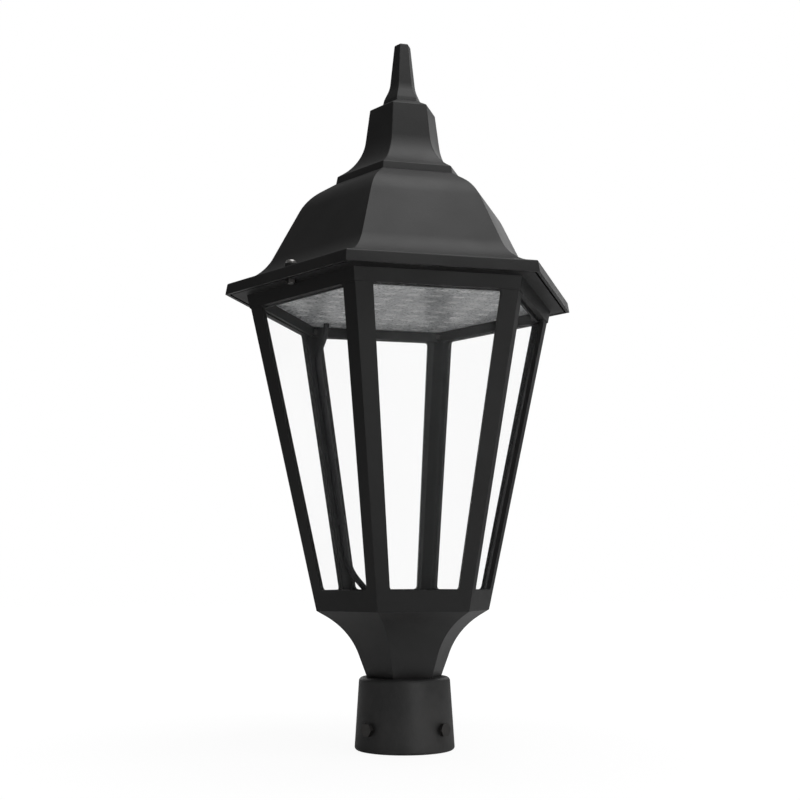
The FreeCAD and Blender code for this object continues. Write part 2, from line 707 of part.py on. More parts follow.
def make_top_ring():
    top_of_groove = "under_z + top_groove"
    inner = less(face("under_z"), "rail_depth")
    body = six_sided("top_ring_casting", [
        (add(face("under_z"), "rail_proud"), "under_z"),
        (add(face("top_z"), "rail_proud"), "top_z"), ("flange_reach", "top_z"),
        ("flange_reach", "flange_z"), ("lens_recess", "flange_z"), ("lens_recess", "seat_z"),
        (inner, "seat_z"), (inner, "under_z"),
        (less(face("under_z"), "lip + groove"), "under_z"),
        (less(face(top_of_groove), "lip + groove"), top_of_groove),
        (less(face(top_of_groove), "lip"), top_of_groove),
        (less(face("under_z"), "lip"), "under_z")])
    tools = post_screw_holes("top_ring", "upper") + tray_holes("top_ring")
    tools.append(rod("flange_latch_hole", "latch_radius + latch_play", "flange_thickness + 2",
                     turned(LATCH_AZIMUTH, "latch_circle", "top_z - 1")))
    tools += hinge_flange_holes()
    node("top_ring", cut_from("top_ring", body, tools))


# Light unit

def tray_holes(name):
    return [rod(f"{name}_tray_hole_{i}", "bowl_screw_radius + thread_clearance",
                "tray_sheet + 10", turned(azimuth, "tray_screw_circle", "flange_z - 7"))
            for i, azimuth in enumerate(tray_azimuths(), 1)]


def tray_azimuths():
    return face_azimuths()


def cable_hole(name, radius, height, thickness):
    return rod(f"{name}_cable_hole", radius, add(thickness, "2"),
               turned(CABLE_AZIMUTH, "cable_offset", less(height, "1")))


def make_light_unit():
    lens = flat("lens_blank", hexagon("lens_recess - lens_gap"), "seat_z", "lens_thickness")
    lens.Placement = turned(FACE_TURN)
    free = "cable_radius + 2 * cable_clearance"
    node("lens", cut_from("lens", lens, [cable_hole("lens", free, "seat_z", "lens_thickness")]))
    node("lens_gasket", six_sided("lens_gasket", [
        ("lens_recess - lens_gap", "lens_top_z"), ("lens_recess - lens_gap", "flange_z"),
        ("lens_gasket_inner", "flange_z"), ("lens_gasket_inner", "lens_top_z")]))
    rim_top = "flange_z + tray_sheet"
    under = place("tray_under_z", "tray_z - tray_sheet")
    place("lead_line_y", "driver_offset + driver_width / 2 + lead_reach")
    tray = six_sided("tray_pan", [
        ("tray_rim", "flange_z"), ("tray_rim", rim_top), ("tray_wall", rim_top),
        ("tray_wall_top", "tray_z"), ("tray_hole", "tray_z"), ("tray_hole", under),
        ("tray_wall_top - tray_sheet", under), ("tray_wall - tray_sheet", "flange_z")])
    bush = "cable_radius + cable_clearance + grommet_wall"
    tools = tray_holes("tray") + [cable_hole("tray", bush, under, "tray_sheet")]
    tools += spacer_rods("tray_spacer_hole", "spacer_hole", less(under, "1"), "tray_sheet + 2")
    tools.append(rod("tray_lead_hole", "lead_radius + cable_clearance", "tray_sheet + 2",
                     FreeCAD.Placement(vector("lead_place", "lead_line_y", less(under, "1")),
                                       FreeCAD.Rotation())))
    node("light_tray", cut_from("light_tray", tray, tools))
    pattern = screw_pattern("tray_screw", "bowl_screw_radius", "tray_sheet + 6",
                            "small_head_radius", "small_head")
    ring_of("tray_screws", pattern, tray_azimuths(), "tray_screw_circle", rim_top)
    board_top = place("board_top_z", "tray_under_z - board_gap")
    board = revolved("led_board_blank", [
        ("board_hole", "board_top_z - board_thickness"),
        ("board_radius", "board_top_z - board_thickness"), ("board_radius", board_top),
        ("board_hole", board_top)])
    node("led_board", board)
    spacers = spacer_rods("board_spacer", "spacer_radius", board_top, "board_gap")
    node("board_spacers", gathered("board_spacers", spacers))
    node("led_chips", gathered("led_chips", led_chips()))


def spacer_rods(name, radius, height, length):
    azimuths = [CORNER_STEP * k for k in range(SIDES) if k != 2]
    return [rod(f"{name}_{i}", radius, length, turned(azimuth, "spacer_circle", height))
            for i, azimuth in enumerate(azimuths, 1)]


def led_chips():
    """Square chips in rows under the board, within a circle."""
    chips = []
    pitch, limit = number("chip_pitch"), number("chip_limit")
    reach = int(limit / pitch)
    for row in range(-reach, reach + 1):
        for column in range(-reach, reach + 1):
            far = math.hypot(row, column) * pitch
            if far > limit or far < number("board_hole + chip_side"):
                continue
            chip = doc.addObject("Part::Box", f"chip_{len(chips) + 1}")
            bind(chip, "Length", "chip_side")
            bind(chip, "Width", "chip_side")
            bind(chip, "Height", "chip_height")
            corner_spot = vector(f"{row} * chip_pitch - chip_side / 2",
                                 f"{column} * chip_pitch - chip_side / 2",
                                 "board_top_z - board_thickness - chip_height")
            chip.Placement = FreeCAD.Placement(corner_spot, FreeCAD.Rotation())
            chips.append(chip)
    return chips


def rectangle(length, width, x="0", y="0"):
    half_x, half_y = f"({length}) / 2", f"({width}) / 2"
    return [(f"{x} - {half_x}", f"{y} - {half_y}"), (f"{x} + {half_x}", f"{y} - {half_y}"),
            (f"{x} + {half_x}", f"{y} + {half_y}"), (f"{x} - {half_x}", f"{y} + {half_y}")]


def make_electrics():
    driver = new_body("driver_case")
    add_pad(driver, "driver_feet",
            rectangle("driver_foot_length", "driver_foot_width", "0", "driver_offset"),
            "tray_z", "driver_foot")
    add_pad(driver, "driver_box",
            rectangle("driver_length", "driver_width", "0", "driver_offset"),
            "tray_z", "driver_height")
    spots = [vector(f"{sign} * driver_screw_reach", "driver_offset", "tray_z")
             for sign in (-1, 1)]
    holes = [rod(f"driver_hole_{i}", "bowl_screw_radius + thread_clearance",
                 "driver_foot + 4", FreeCAD.Placement(spot - FreeCAD.Vector(0, 0, 3),
                                                      FreeCAD.Rotation()))
             for i, spot in enumerate(spots, 1)]
    node("led_driver", cut_from("led_driver", driver, holes))
    pattern = screw_pattern("driver_screw", "bowl_screw_radius - driver_screw_ease",
                            "driver_foot - screw_tip_gap", "small_head_radius", "small_head")
    lift = vector("0", "0", "driver_foot")
    screws = [copy_at(f"driver_screw_{i}", pattern,
                      FreeCAD.Placement(spot + lift, FreeCAD.Rotation()))
              for i, spot in enumerate(spots, 1)]
    node("driver_screws", gathered("driver_screws", screws))
    ends = [f"{sign} * block_screw_spread" for sign in (-1, 1)]
    block = flat("terminal_block", rectangle("block_width", "block_length"), "0",
                 "block_height", [("0", end, "bowl_screw_radius + thread_clearance")
                                  for end in ends])
    block.Placement = turned(CABLE_AZIMUTH, "block_place", "tray_z")
    node("terminal_block", block)
    pattern = screw_pattern("block_screw", "bowl_screw_radius", "block_height - screw_tip_gap",
                            "small_head_radius", "small_head")
    copies = []
    for i, end in enumerate(ends, 1):
        where = turned(CABLE_AZIMUTH, "block_place", "tray_z + block_height")
        where.Base = where.Base + where.Rotation.multVec(vector("0", end))
        copies.append(copy_at(f"block_screw_{i}", pattern, where))
    node("block_screws", gathered("block_screws", copies))


# Cables

def bent_tube(name, spots, radius):
    """Round cable along straight runs joined by tangent arcs."""
    edges = []
    begin = spots[0]
    for i in range(1, len(spots) - 1):
        back, ahead = spots[i - 1] - spots[i], spots[i + 1] - spots[i]
        turn = math.pi - back.getAngle(ahead)
        bend = 0.45 * min(back.Length, ahead.Length) / math.tan(turn / 2)
        setback = bend * math.tan(turn / 2)
        back.normalize()
        ahead.normalize()
        entry, leave = spots[i] + back * setback, spots[i] + ahead * setback
        to_centre = (back + ahead).normalize()
        middle = spots[i] + to_centre * (bend / math.cos(turn / 2) - bend)
        edges.append(Part.makeLine(begin, entry))
        edges.append(Part.Arc(entry, middle, leave).toShape())
        begin = leave
    edges.append(Part.makeLine(begin, spots[-1]))
    path = Part.Wire(edges)
    start = spots[1] - spots[0]
    section = Part.Wire([Part.makeCircle(radius, spots[0], start)])
    tube = path.makePipeShell([section], True, False)
    expected = math.pi * radius ** 2 * path.Length
    if abs(tube.Volume / expected - 1) > 0.01:
        raise ValueError(f"{name}: the tube's volume is off")
    piece = doc.addObject("Part::Feature", name)
    piece.Shape = tube
    return node(name, piece)


def cable_line(z):
    """Distance from the axis of the cable where it runs up the post's rib."""
    return (f"{corner(z)} - post_rib - (cable_radius + cable_post_gap) / cos(12 * 1 deg)")


def make_supply_cable():
    """From the collar up one corner post, through the lens and into the terminal block."""
    base = cable_base_reach()
    low, high = "rail_z + 20", "under_z - 22"
    route = [
        ("0", "socket_depth + 1"), ("0", "collar_height + 24"), (base, "cage_z - 8"),
        (base, "rail_z - 4"), (cable_line(low), low), (cable_line(high), high),
        ("cable_offset", "under_z"), ("cable_offset", "tray_z + cable_entry / 2"),
        ("cable_offset - 9", "tray_z + cable_entry"),
        ("block_place + block_width / 2", "tray_z + cable_entry")]
    turn = FreeCAD.Rotation(FreeCAD.Vector(0, 0, 1), CABLE_AZIMUTH)
    spots = [turn.multVec(vector(reach, 0, z)) for reach, z in route]
    bent_tube("supply_cable", spots, number("cable_radius"))


def make_leads():
    """Mains lead from the block to the driver, and the driver's lead down to the board."""
    level = "tray_z + lead_height"
    side = "driver_offset + driver_width / 2"
    turn = FreeCAD.Rotation(FreeCAD.Vector(0, 0, 1), CABLE_AZIMUTH)
    block_side = "block_place - block_width / 2"
    driver_lead = [turn.multVec(vector(block_side, "0", level)),
                   turn.multVec(vector(less(block_side, "2 * lead_reach"), "0", level)),
                   vector("-lead_place", "lead_line_y", level),
                   vector("-lead_place", side, level)]
    bent_tube("driver_lead", driver_lead, number("lead_radius"))
    led_lead = [vector("lead_place", side, level), vector("lead_place", "lead_line_y", level),
                vector("lead_place", "lead_line_y", "board_top_z")]
    bent_tube("led_lead", led_lead, number("lead_radius"))


def grommet(name, azimuth, reach, start, thickness):
    """Rubber bush with a lip above and below the sheet that it sits in."""
    hole = "cable_radius + cable_clearance"
    outer = f"{hole} + grommet_wall"
    lip = f"{outer} + grommet_lip"
    low, high = "-grommet_lip_thickness", f"({thickness}) + grommet_lip_thickness"
    body = revolved(name, [
        (hole, low), (lip, low), (lip, "0"), (outer, "0"), (outer, thickness),
        (lip, thickness), (lip, high), (hole, high)])
    body.Placement = turned(azimuth, reach, start)
    return node(name, body)


def make_grommets():
    grommet("cable_grommet_base", CABLE_AZIMUTH, cable_base_reach(), "web_z",
            "base_plate_thickness")
    grommet("cable_grommet_upper", CABLE_AZIMUTH, "cable_offset", "tray_under_z", "tray_sheet")
    hole = "cable_radius + cable_clearance"
    outer, lip = "cable_hole - bush_fit", "cable_hole + grommet_lip"
    seat = "collar_height + bowl_floor"
    top = f"{seat} + grommet_lip_thickness"
    lower = revolved("cable_grommet_lower", [
        (hole, "collar_height"), (outer, "collar_height"), (outer, seat), (lip, seat),
        (lip, top), (hole, top)])
    node("cable_grommet_lower", lower)


def make_clips():
    """Saddles that hold the cable on the rib of its post."""
    clips = []
    lean = math.degrees(math.atan(number(f"lean / cos({FACE_TURN} * 1 deg)")))
    for i, share in enumerate((0.2, 0.5, 0.8), 1):
        height = number(f"rail_z + 20 + (under_z - rail_z - 42) * {share}")
        band = revolved(f"clip_band_{i}", [
            ("cable_radius + clip_fit", "0"), ("cable_radius + clip_wall", "0"),
            ("cable_radius + clip_wall", "clip_length"),
            ("cable_radius + clip_fit", "clip_length")])
        where = turned(CABLE_AZIMUTH, cable_line(height), height)
        tip = FreeCAD.Rotation(FreeCAD.Vector(0, 1, 0), lean)
        where.Rotation = where.Rotation.multiply(tip)
        band.Placement = where
        clips.append(band)
    node("cable_clips", gathered("cable_clips", clips))


# Roof, cap and finial

def make_roof():
    rim = ("roof_rim", "rim_z")
    fascia = ("roof_rim - fascia_lean", "rim_z + fascia_height")
    skirt = ("skirt", "rim_z + skirt_rise")
    shoulder = ("shoulder", "rim_z + shoulder_rise")
    top = ("roof_top", "rim_z + roof_top_rise")
    crown = ("roof_hole", "rim_z + roof_top_rise")
    inner_fascia = ("roof_rim - roof_wall", "rim_z")
    inner_ledge = ("roof_rim - roof_wall - fascia_lean * ledge_rise / fascia_height", "ledge_z")
    inner_skirt = inset("roof_skirt", fascia, skirt, shoulder, "roof_wall")
    inner_shoulder = inset("roof_shoulder", skirt, shoulder, top, "roof_wall")
    inner_top = inset("roof_crown", shoulder, top, crown, "roof_wall")
    place("brim_slope", f"(({skirt[1]}) - ({fascia[1]})) / (({skirt[0]}) - ({fascia[0]}))")
    back_z = f"{inner_skirt[1]} + (ledge_inner - {inner_skirt[0]}) * brim_slope"
    body = six_sided("roof_casting", [
        rim, (*fascia, "fascia_round"), (*skirt, "skirt_round"),
        (*shoulder, "shoulder_round"), top, crown, ("roof_hole", inner_top[1]), inner_top,
        (*inner_shoulder, "shoulder_round - roof_wall"), (*inner_skirt, "skirt_inner_round"),
        ("ledge_inner", back_z), ("ledge_inner", "ledge_z"), inner_ledge, inner_fascia])
    boss = rod("roof_boss", "boss_radius", "rim_z + boss_rise - ledge_z",
               turned(LATCH_AZIMUTH, "latch_circle", "ledge_z"))
    tools = [rod("roof_latch_hole", "latch_radius + latch_slide", "boss_rise + 4",
                 turned(LATCH_AZIMUTH, "latch_circle", "rim_z - 2"))]
    tools += hinge_fascia_holes()
    node("roof", cut_from("roof", joined("roof_with_boss", [body, boss]), tools))
    inner = "ledge_inner + roof_gasket_inset"
    outer = add(inner, "roof_gasket_width")
    low = "flange_z + roof_gasket_gap"
    node("roof_gasket", six_sided("roof_gasket", [
        (outer, low), (outer, "ledge_z"), (inner, "ledge_z"), (inner, low)]))
    make_cap(shoulder, top)


def make_cap(shoulder, top):
    """Stepped cap that sits on the roof's upper slope."""
    slope = f"(({top[1]}) - ({shoulder[1]})) / (({top[0]}) - ({shoulder[0]}))"

    def on_roof(apothem):
        return f"({shoulder[1]}) + (({apothem}) - shoulder) * {slope}"

    fascia = ("cap_fascia", "rim_z + cap_fascia_rise")
    waist = ("cap_waist", "rim_z + cap_waist_rise")
    upper = ("cap_shoulder", "rim_z + cap_shoulder_rise")
    crown = ("cap_top", "rim_z + cap_top_rise")
    hole = ("cap_hole", crown[1])
    rim = ("cap_rim", on_roof("cap_rim"))
    inner_fascia = inset("cap_fascia_in", rim, fascia, waist, "cap_wall")
    inner_waist = inset("cap_waist_in", fascia, waist, upper, "cap_wall")
    inner_upper = inset("cap_upper_in", waist, upper, crown, "cap_wall")
    inner_crown = inset("cap_crown_in", upper, crown, hole, "cap_wall")
    node("roof_cap", six_sided("roof_cap", [
        rim, (*fascia, "cap_fascia_round"), (*waist, "cap_waist_round"),
        (*upper, "cap_shoulder_round"), crown, hole, ("cap_hole", inner_crown[1]),
        inner_crown, inner_upper, (*inner_waist, "cap_inner_round"), inner_fascia,
        ("cap_rim - cap_wall", on_roof("cap_rim - cap_wall"))]))
    make_finial(crown)


def make_finial(crown):
    base = place("finial_z", crown[1])
    tip = "finial_z + finial_height"
    bore = "rod_radius + rod_clearance"
    body = six_sided("finial", [
        ("cap_top", base), ("finial_bead", "finial_z + finial_bead_rise", "finial_bead_round"),
        ("finial_neck", "finial_z + finial_neck_rise", "finial_neck_round"),
        ("finial_tip", tip, "finial_tip_round"), (bore, tip), (bore, base)])
    sketch = new_sketch(body, "finial_plug_outline", "XY_Plane", "finial_z + rod_grip + rod_headroom")
    draw_circle(sketch, "0", "0", f"({bore}) / cos({FACE_TURN} * 1 deg) + 0.05")
    plug = body.newObject("PartDesign::Pad", "finial_plug")
    plug.Profile = sketch
    bind(plug, "Length", "finial_height - rod_grip - rod_headroom")
    node("finial", body)
    under_crown = place("crown_under_z", "rim_z + roof_top_rise - roof_wall")
    low = "crown_under_z - rod_tail"
    node("tie_rod", rod("tie_rod", "rod_radius", f"finial_z + rod_grip - ({low})",
                        turned(0, "0", low)))
    node("tie_washer", revolved("tie_washer", [
        ("rod_radius + washer_fit", "crown_under_z - washer_thickness"),
        ("washer_radius", "crown_under_z - washer_thickness"), ("washer_radius", under_crown),
        ("rod_radius + washer_fit", under_crown)]))
    nut = flat("tie_nut", hexagon("nut_flats / 2"),
               "crown_under_z - washer_thickness - nut_height", "nut_height",
               [("0", "0", "rod_radius + nut_fit")])
    node("tie_nut", nut)


# Latch screw

def make_latch():
    shank = place("latch_shank", "rim_z + boss_rise - top_z + latch_tip")
    body = revolved("latch_blank", [
        ("0", f"-({shank})"), ("latch_radius", f"-({shank})"), ("latch_radius", "0"),
        ("latch_head_radius", "0"), ("latch_head_radius", "latch_head", "latch_head_round"),
        ("0", "latch_head")])
    slots = []
    for i in (1, 2):
        slot = doc.addObject("Part::Box", f"latch_slot_{i}")
        bind(slot, "Length", "latch_cross")
        bind(slot, "Width", "latch_cross_width")
        bind(slot, "Height", "latch_cross_depth + 1")
        half = vector("latch_cross / 2", "latch_cross_width / 2", 0)
        turn = FreeCAD.Rotation(FreeCAD.Vector(0, 0, 1), 90 * i)
        spot = turn.multVec(FreeCAD.Vector(-half.x, -half.y, 0))
        slot.Placement = FreeCAD.Placement(
            spot + vector("0", "0", "latch_head - latch_cross_depth"), turn)
        slots.append(slot)
    cross = joined("latch_recess", slots)
    screw = cut_from("latch_screw", body, [cross])
    screw.Placement = turned(LATCH_AZIMUTH, "latch_circle", "rim_z + boss_rise")
    node("latch_screw", screw)
    nut = flat("latch_nut", hexagon("latch_nut_flats / 2"), "0", "latch_nut_height",
               [("0", "0", "latch_radius + latch_play")])
    nut.Placement = turned(LATCH_AZIMUTH, "latch_circle", "top_z - latch_nut_height")
    node("latch_nut", nut)


# Hinge, built along +X and turned to its face

def hinge_flange_holes():
    return [rod(f"flange_hinge_hole_{i}", "hinge_screw_radius + thread_clearance",
                "flange_thickness + 2", hinge_frame_spot(sign, "top_z - 1"))
            for i, sign in enumerate((-1, 1), 1)]


def hinge_frame_spot(sign, height):
    where = turned(HINGE_AZIMUTH, "hinge_screw_place", height)
    aside = FreeCAD.Vector(0, sign * number("hinge_screw_spread"), 0)
    where.Base = where.Base + where.Rotation.multVec(aside)
    return where


def hinge_fascia_holes():
    return [rod(f"fascia_hinge_hole_{i}", "hinge_screw_radius + thread_clearance",
                "hinge_screw_bite + 6", hinge_roof_spot(sign, "roof_rim - hinge_screw_bite"))
            for i, sign in enumerate((-1, 1), 1)]


def hinge_roof_spot(sign, reach):
    where = outward(HINGE_AZIMUTH, reach, "rim_z + hinge_screw_rise")
    aside = FreeCAD.Vector(0, sign * number("hinge_screw_spread"), 0)
    where.Base = where.Base + turned(HINGE_AZIMUTH).Rotation.multVec(aside)
    return where


def leaf_body(name, corners, width):
    """Leaf of a hinge: a section padded both ways from the middle."""
    body = new_body(name)
    section = new_sketch(body, name + "_section", "XZ_Plane")
    draw_outline(section, corners)
    pad = body.newObject("PartDesign::Pad", name + "_pad")
    pad.Profile = section
    pad.SideType = "Symmetric"
    bind(pad, "Length", width)
    return body


def barrel(name, start, length, radius):
    """Cylinder along the hinge axis from start."""
    turn = FreeCAD.Rotation(FreeCAD.Vector(1, 0, 0), -90)
    where = FreeCAD.Placement(vector("hinge_reach", start, "hinge_z"), turn)
    return rod(name, radius, length, where)


def slab(name, length, width, height, spot):
    block = doc.addObject("Part::Box", name)
    bind(block, "Length", length)
    bind(block, "Width", width)
    bind(block, "Height", height)
    block.Placement = FreeCAD.Placement(spot, FreeCAD.Rotation())
    return block


def make_hinge():
    side = "(hinge_width - centre_knuckle) / 2 - knuckle_gap"
    top_low = place("leaf_top_z", "rim_z - hinge_drop - leaf_step")
    frame_plate = leaf_body("frame_leaf_plate", [
        ("leaf_inner", "top_z"), ("flange_reach - leaf_bend_start", "top_z"),
        ("flange_reach + leaf_bend_end", top_low), ("hinge_reach", top_low),
        ("hinge_reach", "leaf_top_z - leaf_thickness"),
        ("flange_reach + leaf_bend_end", "leaf_top_z - leaf_thickness"),
        ("flange_reach - leaf_bend_start", "top_z - leaf_thickness"),
        ("leaf_inner", "top_z - leaf_thickness")], "hinge_width")
    near = "centre_knuckle / 2 + knuckle_gap"
    frame = joined("frame_leaf_whole", [
        frame_plate, barrel("frame_knuckle_1", near, side, "knuckle_radius"),
        barrel("frame_knuckle_2", "-hinge_width / 2", side, "knuckle_radius")])
    gap = slab("frame_leaf_notch", "3 * knuckle_radius", "centre_knuckle + 2 * knuckle_gap",
               "4 * knuckle_radius",
               vector("hinge_reach - knuckle_radius - 0.5",
                      "-centre_knuckle / 2 - knuckle_gap", "hinge_z - 2 * knuckle_radius"))
    bore = barrel("frame_pin_bore", "-hinge_width / 2 - 1", "hinge_width + 2",
                  "pin_radius + 0.01")
    holes = [rod(f"frame_leaf_hole_{i}", "hinge_screw_radius + thread_clearance",
                 "leaf_thickness + 2",
                 FreeCAD.Placement(vector("hinge_screw_place",
                                          f"{sign} * hinge_screw_spread",
                                          "top_z - leaf_thickness - 1"), FreeCAD.Rotation()))
             for i, sign in enumerate((-1, 1), 1)]
    leaf = cut_from("hinge_frame_leaf", frame, [joined("frame_leaf_cuts", [gap, bore])] + holes)
    leaf.Placement = turned(HINGE_AZIMUTH)
    node("hinge_frame_leaf", leaf)
    make_roof_leaf()
    pin = barrel("pin_blank", "-pin_length / 2", "pin_length", "pin_radius")
    node("hinge_pin", copy_at("hinge_pin", pin, turned(HINGE_AZIMUTH)))
    make_hinge_screws()


def fascia_at(z):
    """Apothem of the fascia's outer face at height z."""
    return f"roof_rim - fascia_lean * (({z}) - rim_z) / fascia_height"


def make_roof_leaf():
    low = "hinge_z + knuckle_radius + leaf_low_gap"
    high = "rim_z + fascia_height - leaf_high_gap"
    plate = leaf_body("roof_leaf_plate", [
        (fascia_at(low), low), (add(fascia_at(low), "leaf_thickness"), low),
        (add(fascia_at(high), "leaf_thickness"), high), (fascia_at(high), high)],
        "hinge_width")
    web = leaf_body("roof_leaf_web", [
        (fascia_at("rim_z + 1"), "rim_z + 1"), ("hinge_reach", "rim_z + 1"),
        (add(fascia_at(high), "leaf_thickness"), high), (fascia_at(high), high)],
        "centre_knuckle")
    knuckle = barrel("roof_knuckle", "-centre_knuckle / 2", "centre_knuckle", "knuckle_radius")
    bore = barrel("roof_pin_bore", "-hinge_width / 2", "hinge_width", "pin_radius + pin_fit")
    turn = FreeCAD.Rotation(FreeCAD.Vector(0, 1, 0), 90)
    holes = [rod(f"roof_leaf_hole_{i}", "hinge_screw_radius + thread_clearance", "12",
                 FreeCAD.Placement(vector("roof_rim - 6", f"{sign} * hinge_screw_spread",
                                          "rim_z + hinge_screw_rise"), turn))
             for i, sign in enumerate((-1, 1), 1)]
    leaf = cut_from("hinge_roof_leaf", joined("roof_leaf_whole", [plate, web, knuckle]),
                    [bore] + holes)
    leaf.Placement = turned(HINGE_AZIMUTH)
    node("hinge_roof_leaf", leaf)


def make_hinge_screws():
    up = FreeCAD.Rotation(FreeCAD.Vector(1, 0, 0), 180)
    pattern = screw_pattern("frame_leaf_screw", "hinge_screw_radius",
                            "leaf_thickness + flange_thickness - screw_end_gap",
                            "post_screw_head_radius", "post_screw_head")
    copies = []
    for i, sign in enumerate((-1, 1), 1):
        where = hinge_frame_spot(sign, "top_z - leaf_thickness")
        where.Rotation = where.Rotation.multiply(up)
        copies.append(copy_at(f"hinge_frame_screw_{i}", pattern, where))
    node("hinge_frame_screws", gathered("hinge_frame_screws", copies))
    seat = f"{fascia_at('rim_z + hinge_screw_rise')} + leaf_thickness + 0.5"
    pattern = screw_pattern("roof_leaf_screw", "hinge_screw_radius",
                            "hinge_screw_bite + leaf_thickness - 1", "post_screw_head_radius",
                            "post_screw_head")
    copies = [copy_at(f"hinge_roof_screw_{i}", pattern, hinge_roof_spot(sign, seat))
              for i, sign in enumerate((-1, 1), 1)]
    node("hinge_roof_screws", gathered("hinge_roof_screws", copies))


# Checks and files

def check_document():
    for item in doc.Objects:
        if "Invalid" in item.State or "Error" in item.State:
            raise ValueError(f"{item.Name} ({item.Label}) failed: {item.State}")
    for name, piece in nodes.items():
        shape = piece.Shape
        if shape.isNull() or not shape.isValid() or not shape.Solids:
            raise ValueError(f"{name} has no valid solid")


def write_nodes():
    os.makedirs("parts", exist_ok=True)
    for name, piece in nodes.items():
        solids = piece.Shape.Solids
        whole = solids[0] if len(solids) == 1 else Part.makeCompound(solids)
        whole.exportStep(f"parts/{name}.step")
        print(f"{name}: {len(solids)} solid(s), {whole.Volume / 1000:.2f} cm3")


make_collar()
make_set_screws()
make_bowl()
make_bottom_ring()
make_base_plate()
make_post_screws()
make_posts()
make_panes()
make_top_ring()
make_light_unit()
make_electrics()
make_supply_cable()
make_leads()
make_grommets()
make_clips()
make_roof()
make_latch()
make_hinge()
doc.recompute()
check_document()
write_nodes()
print(len(nodes), "nodes")
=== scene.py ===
# %% [markdown]
# # A post top lantern, dressed for its picture
#
# The construction is already there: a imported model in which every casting, pane and screw has
# its real size and place. This script loads it, gives every piece the finish it has on the real
# lantern, adds the fine forms that only the eye needs, and sets up a plain photo studio.

# %% Load the lantern
import math

import bmesh
import bpy
from mathutils import Matrix, Vector


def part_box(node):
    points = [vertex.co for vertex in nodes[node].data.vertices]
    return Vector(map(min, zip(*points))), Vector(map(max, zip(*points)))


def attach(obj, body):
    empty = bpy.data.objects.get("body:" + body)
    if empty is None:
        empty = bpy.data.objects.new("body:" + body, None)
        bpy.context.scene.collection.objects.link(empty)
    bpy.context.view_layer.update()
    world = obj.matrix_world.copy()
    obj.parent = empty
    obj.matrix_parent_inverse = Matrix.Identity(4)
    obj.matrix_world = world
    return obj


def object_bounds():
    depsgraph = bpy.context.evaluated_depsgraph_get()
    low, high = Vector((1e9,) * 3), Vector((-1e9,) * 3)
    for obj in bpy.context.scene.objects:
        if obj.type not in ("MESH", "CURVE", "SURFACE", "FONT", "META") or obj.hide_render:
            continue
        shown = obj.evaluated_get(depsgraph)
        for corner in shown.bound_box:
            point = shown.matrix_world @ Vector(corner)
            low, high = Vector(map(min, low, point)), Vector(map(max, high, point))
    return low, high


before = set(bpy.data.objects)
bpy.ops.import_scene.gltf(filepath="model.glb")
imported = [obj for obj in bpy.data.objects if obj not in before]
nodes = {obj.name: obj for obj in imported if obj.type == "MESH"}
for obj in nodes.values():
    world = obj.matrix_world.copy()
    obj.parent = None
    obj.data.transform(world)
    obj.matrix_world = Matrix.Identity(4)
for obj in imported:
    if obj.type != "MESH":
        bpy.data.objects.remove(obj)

CAD_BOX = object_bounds()
height = CAD_BOX[1].z - CAD_BOX[0].z
print(f"{len(nodes)} pieces, {height * 1000:.0f} mm tall")

# %% [markdown]
# ## The camera
#
# The picture was taken from a little over a metre away, with the camera about level with the
# foot of the cage and tilted up, so the bright ceiling of the cage shows under the roof. A camera
# needs a place, an aim and a focal length. The aim is kept as three angles, because a lens that
# tilts up by some degrees is easier to picture than a matrix of numbers.

# %% Camera
CAMERA_PLACE = Vector((-0.2737, -1.1118, 0.1541))
CAMERA_TURN = 13.66         # degrees clockwise from looking along +Y, seen from above
CAMERA_TILT = 8.43          # degrees up
CAMERA_ROLL = -0.16         # degrees, against a level horizon
CAMERA_LENS = 54.4          # mm
SENSOR_WIDTH = 36           # mm
NEAREST = 0.01              # m, closer things are not drawn


def look(turn, tilt, roll):
    """Rotation of a camera that starts out looking along +Y with +Z up."""
    level = Matrix.Rotation(math.radians(90 + tilt), 4, "X")
    return Matrix.Rotation(math.radians(-turn), 4, "Z") @ level @ Matrix.Rotation(
        math.radians(roll), 4, "Z")


camera_data = bpy.data.cameras.new("photo_camera")
camera_data.lens = CAMERA_LENS
camera_data.sensor_width = SENSOR_WIDTH
camera_data.clip_start = NEAREST
camera = bpy.data.objects.new("photo_camera", camera_data)
camera.matrix_world = Matrix.Translation(CAMERA_PLACE) @ look(
    CAMERA_TURN, CAMERA_TILT, CAMERA_ROLL)
bpy.context.scene.collection.objects.link(camera)
bpy.context.scene.camera = camera
print(f"camera {CAMERA_PLACE.length:.2f} m from the lantern's foot")

# %% [markdown]
# ## Writing shader maths as arithmetic
#
# A material is a small machine of nodes. Wiring every multiplication by hand hides the idea, so
# `Signal` wraps a socket and lets `0.4 + 0.1 * noise` add the Math nodes by itself. A signal
# needs to know which graph it lives in, because that is where its sums are added.

# %% Signals
class Signal:
    """One output socket, used in sums as if it were a number."""

    def __init__(self, graph, socket):
        self.graph = graph
        self.socket = socket

    def _join(self, operation, first, second):
        made = self.graph.node("ShaderNodeMath", {"operation": operation}, {0: first, 1: second})
        return Signal(self.graph, made.outputs[0])

    def __add__(self, other):
        return self._join("ADD", self, other)

    def __mul__(self, other):
        return self._join("MULTIPLY", self, other)

    def __sub__(self, other):
        return self._join("SUBTRACT", self, other)

    def __rsub__(self, other):
        return self._join("SUBTRACT", other, self)

    def maximum(self, other):
        return self._join("MAXIMUM", self, other)

    def away_from(self, centre):
        """Distance from a number, never negative."""
        return self._join("ABSOLUTE", self - centre, 0.0)

    def swing(self, pitch):
        """Distance from the nearest whole multiple of a pitch."""
        return self._join("PINGPONG", self, pitch / 2)

    __radd__ = __add__
    __rmul__ = __mul__


print("sockets can be added, multiplied and compared")

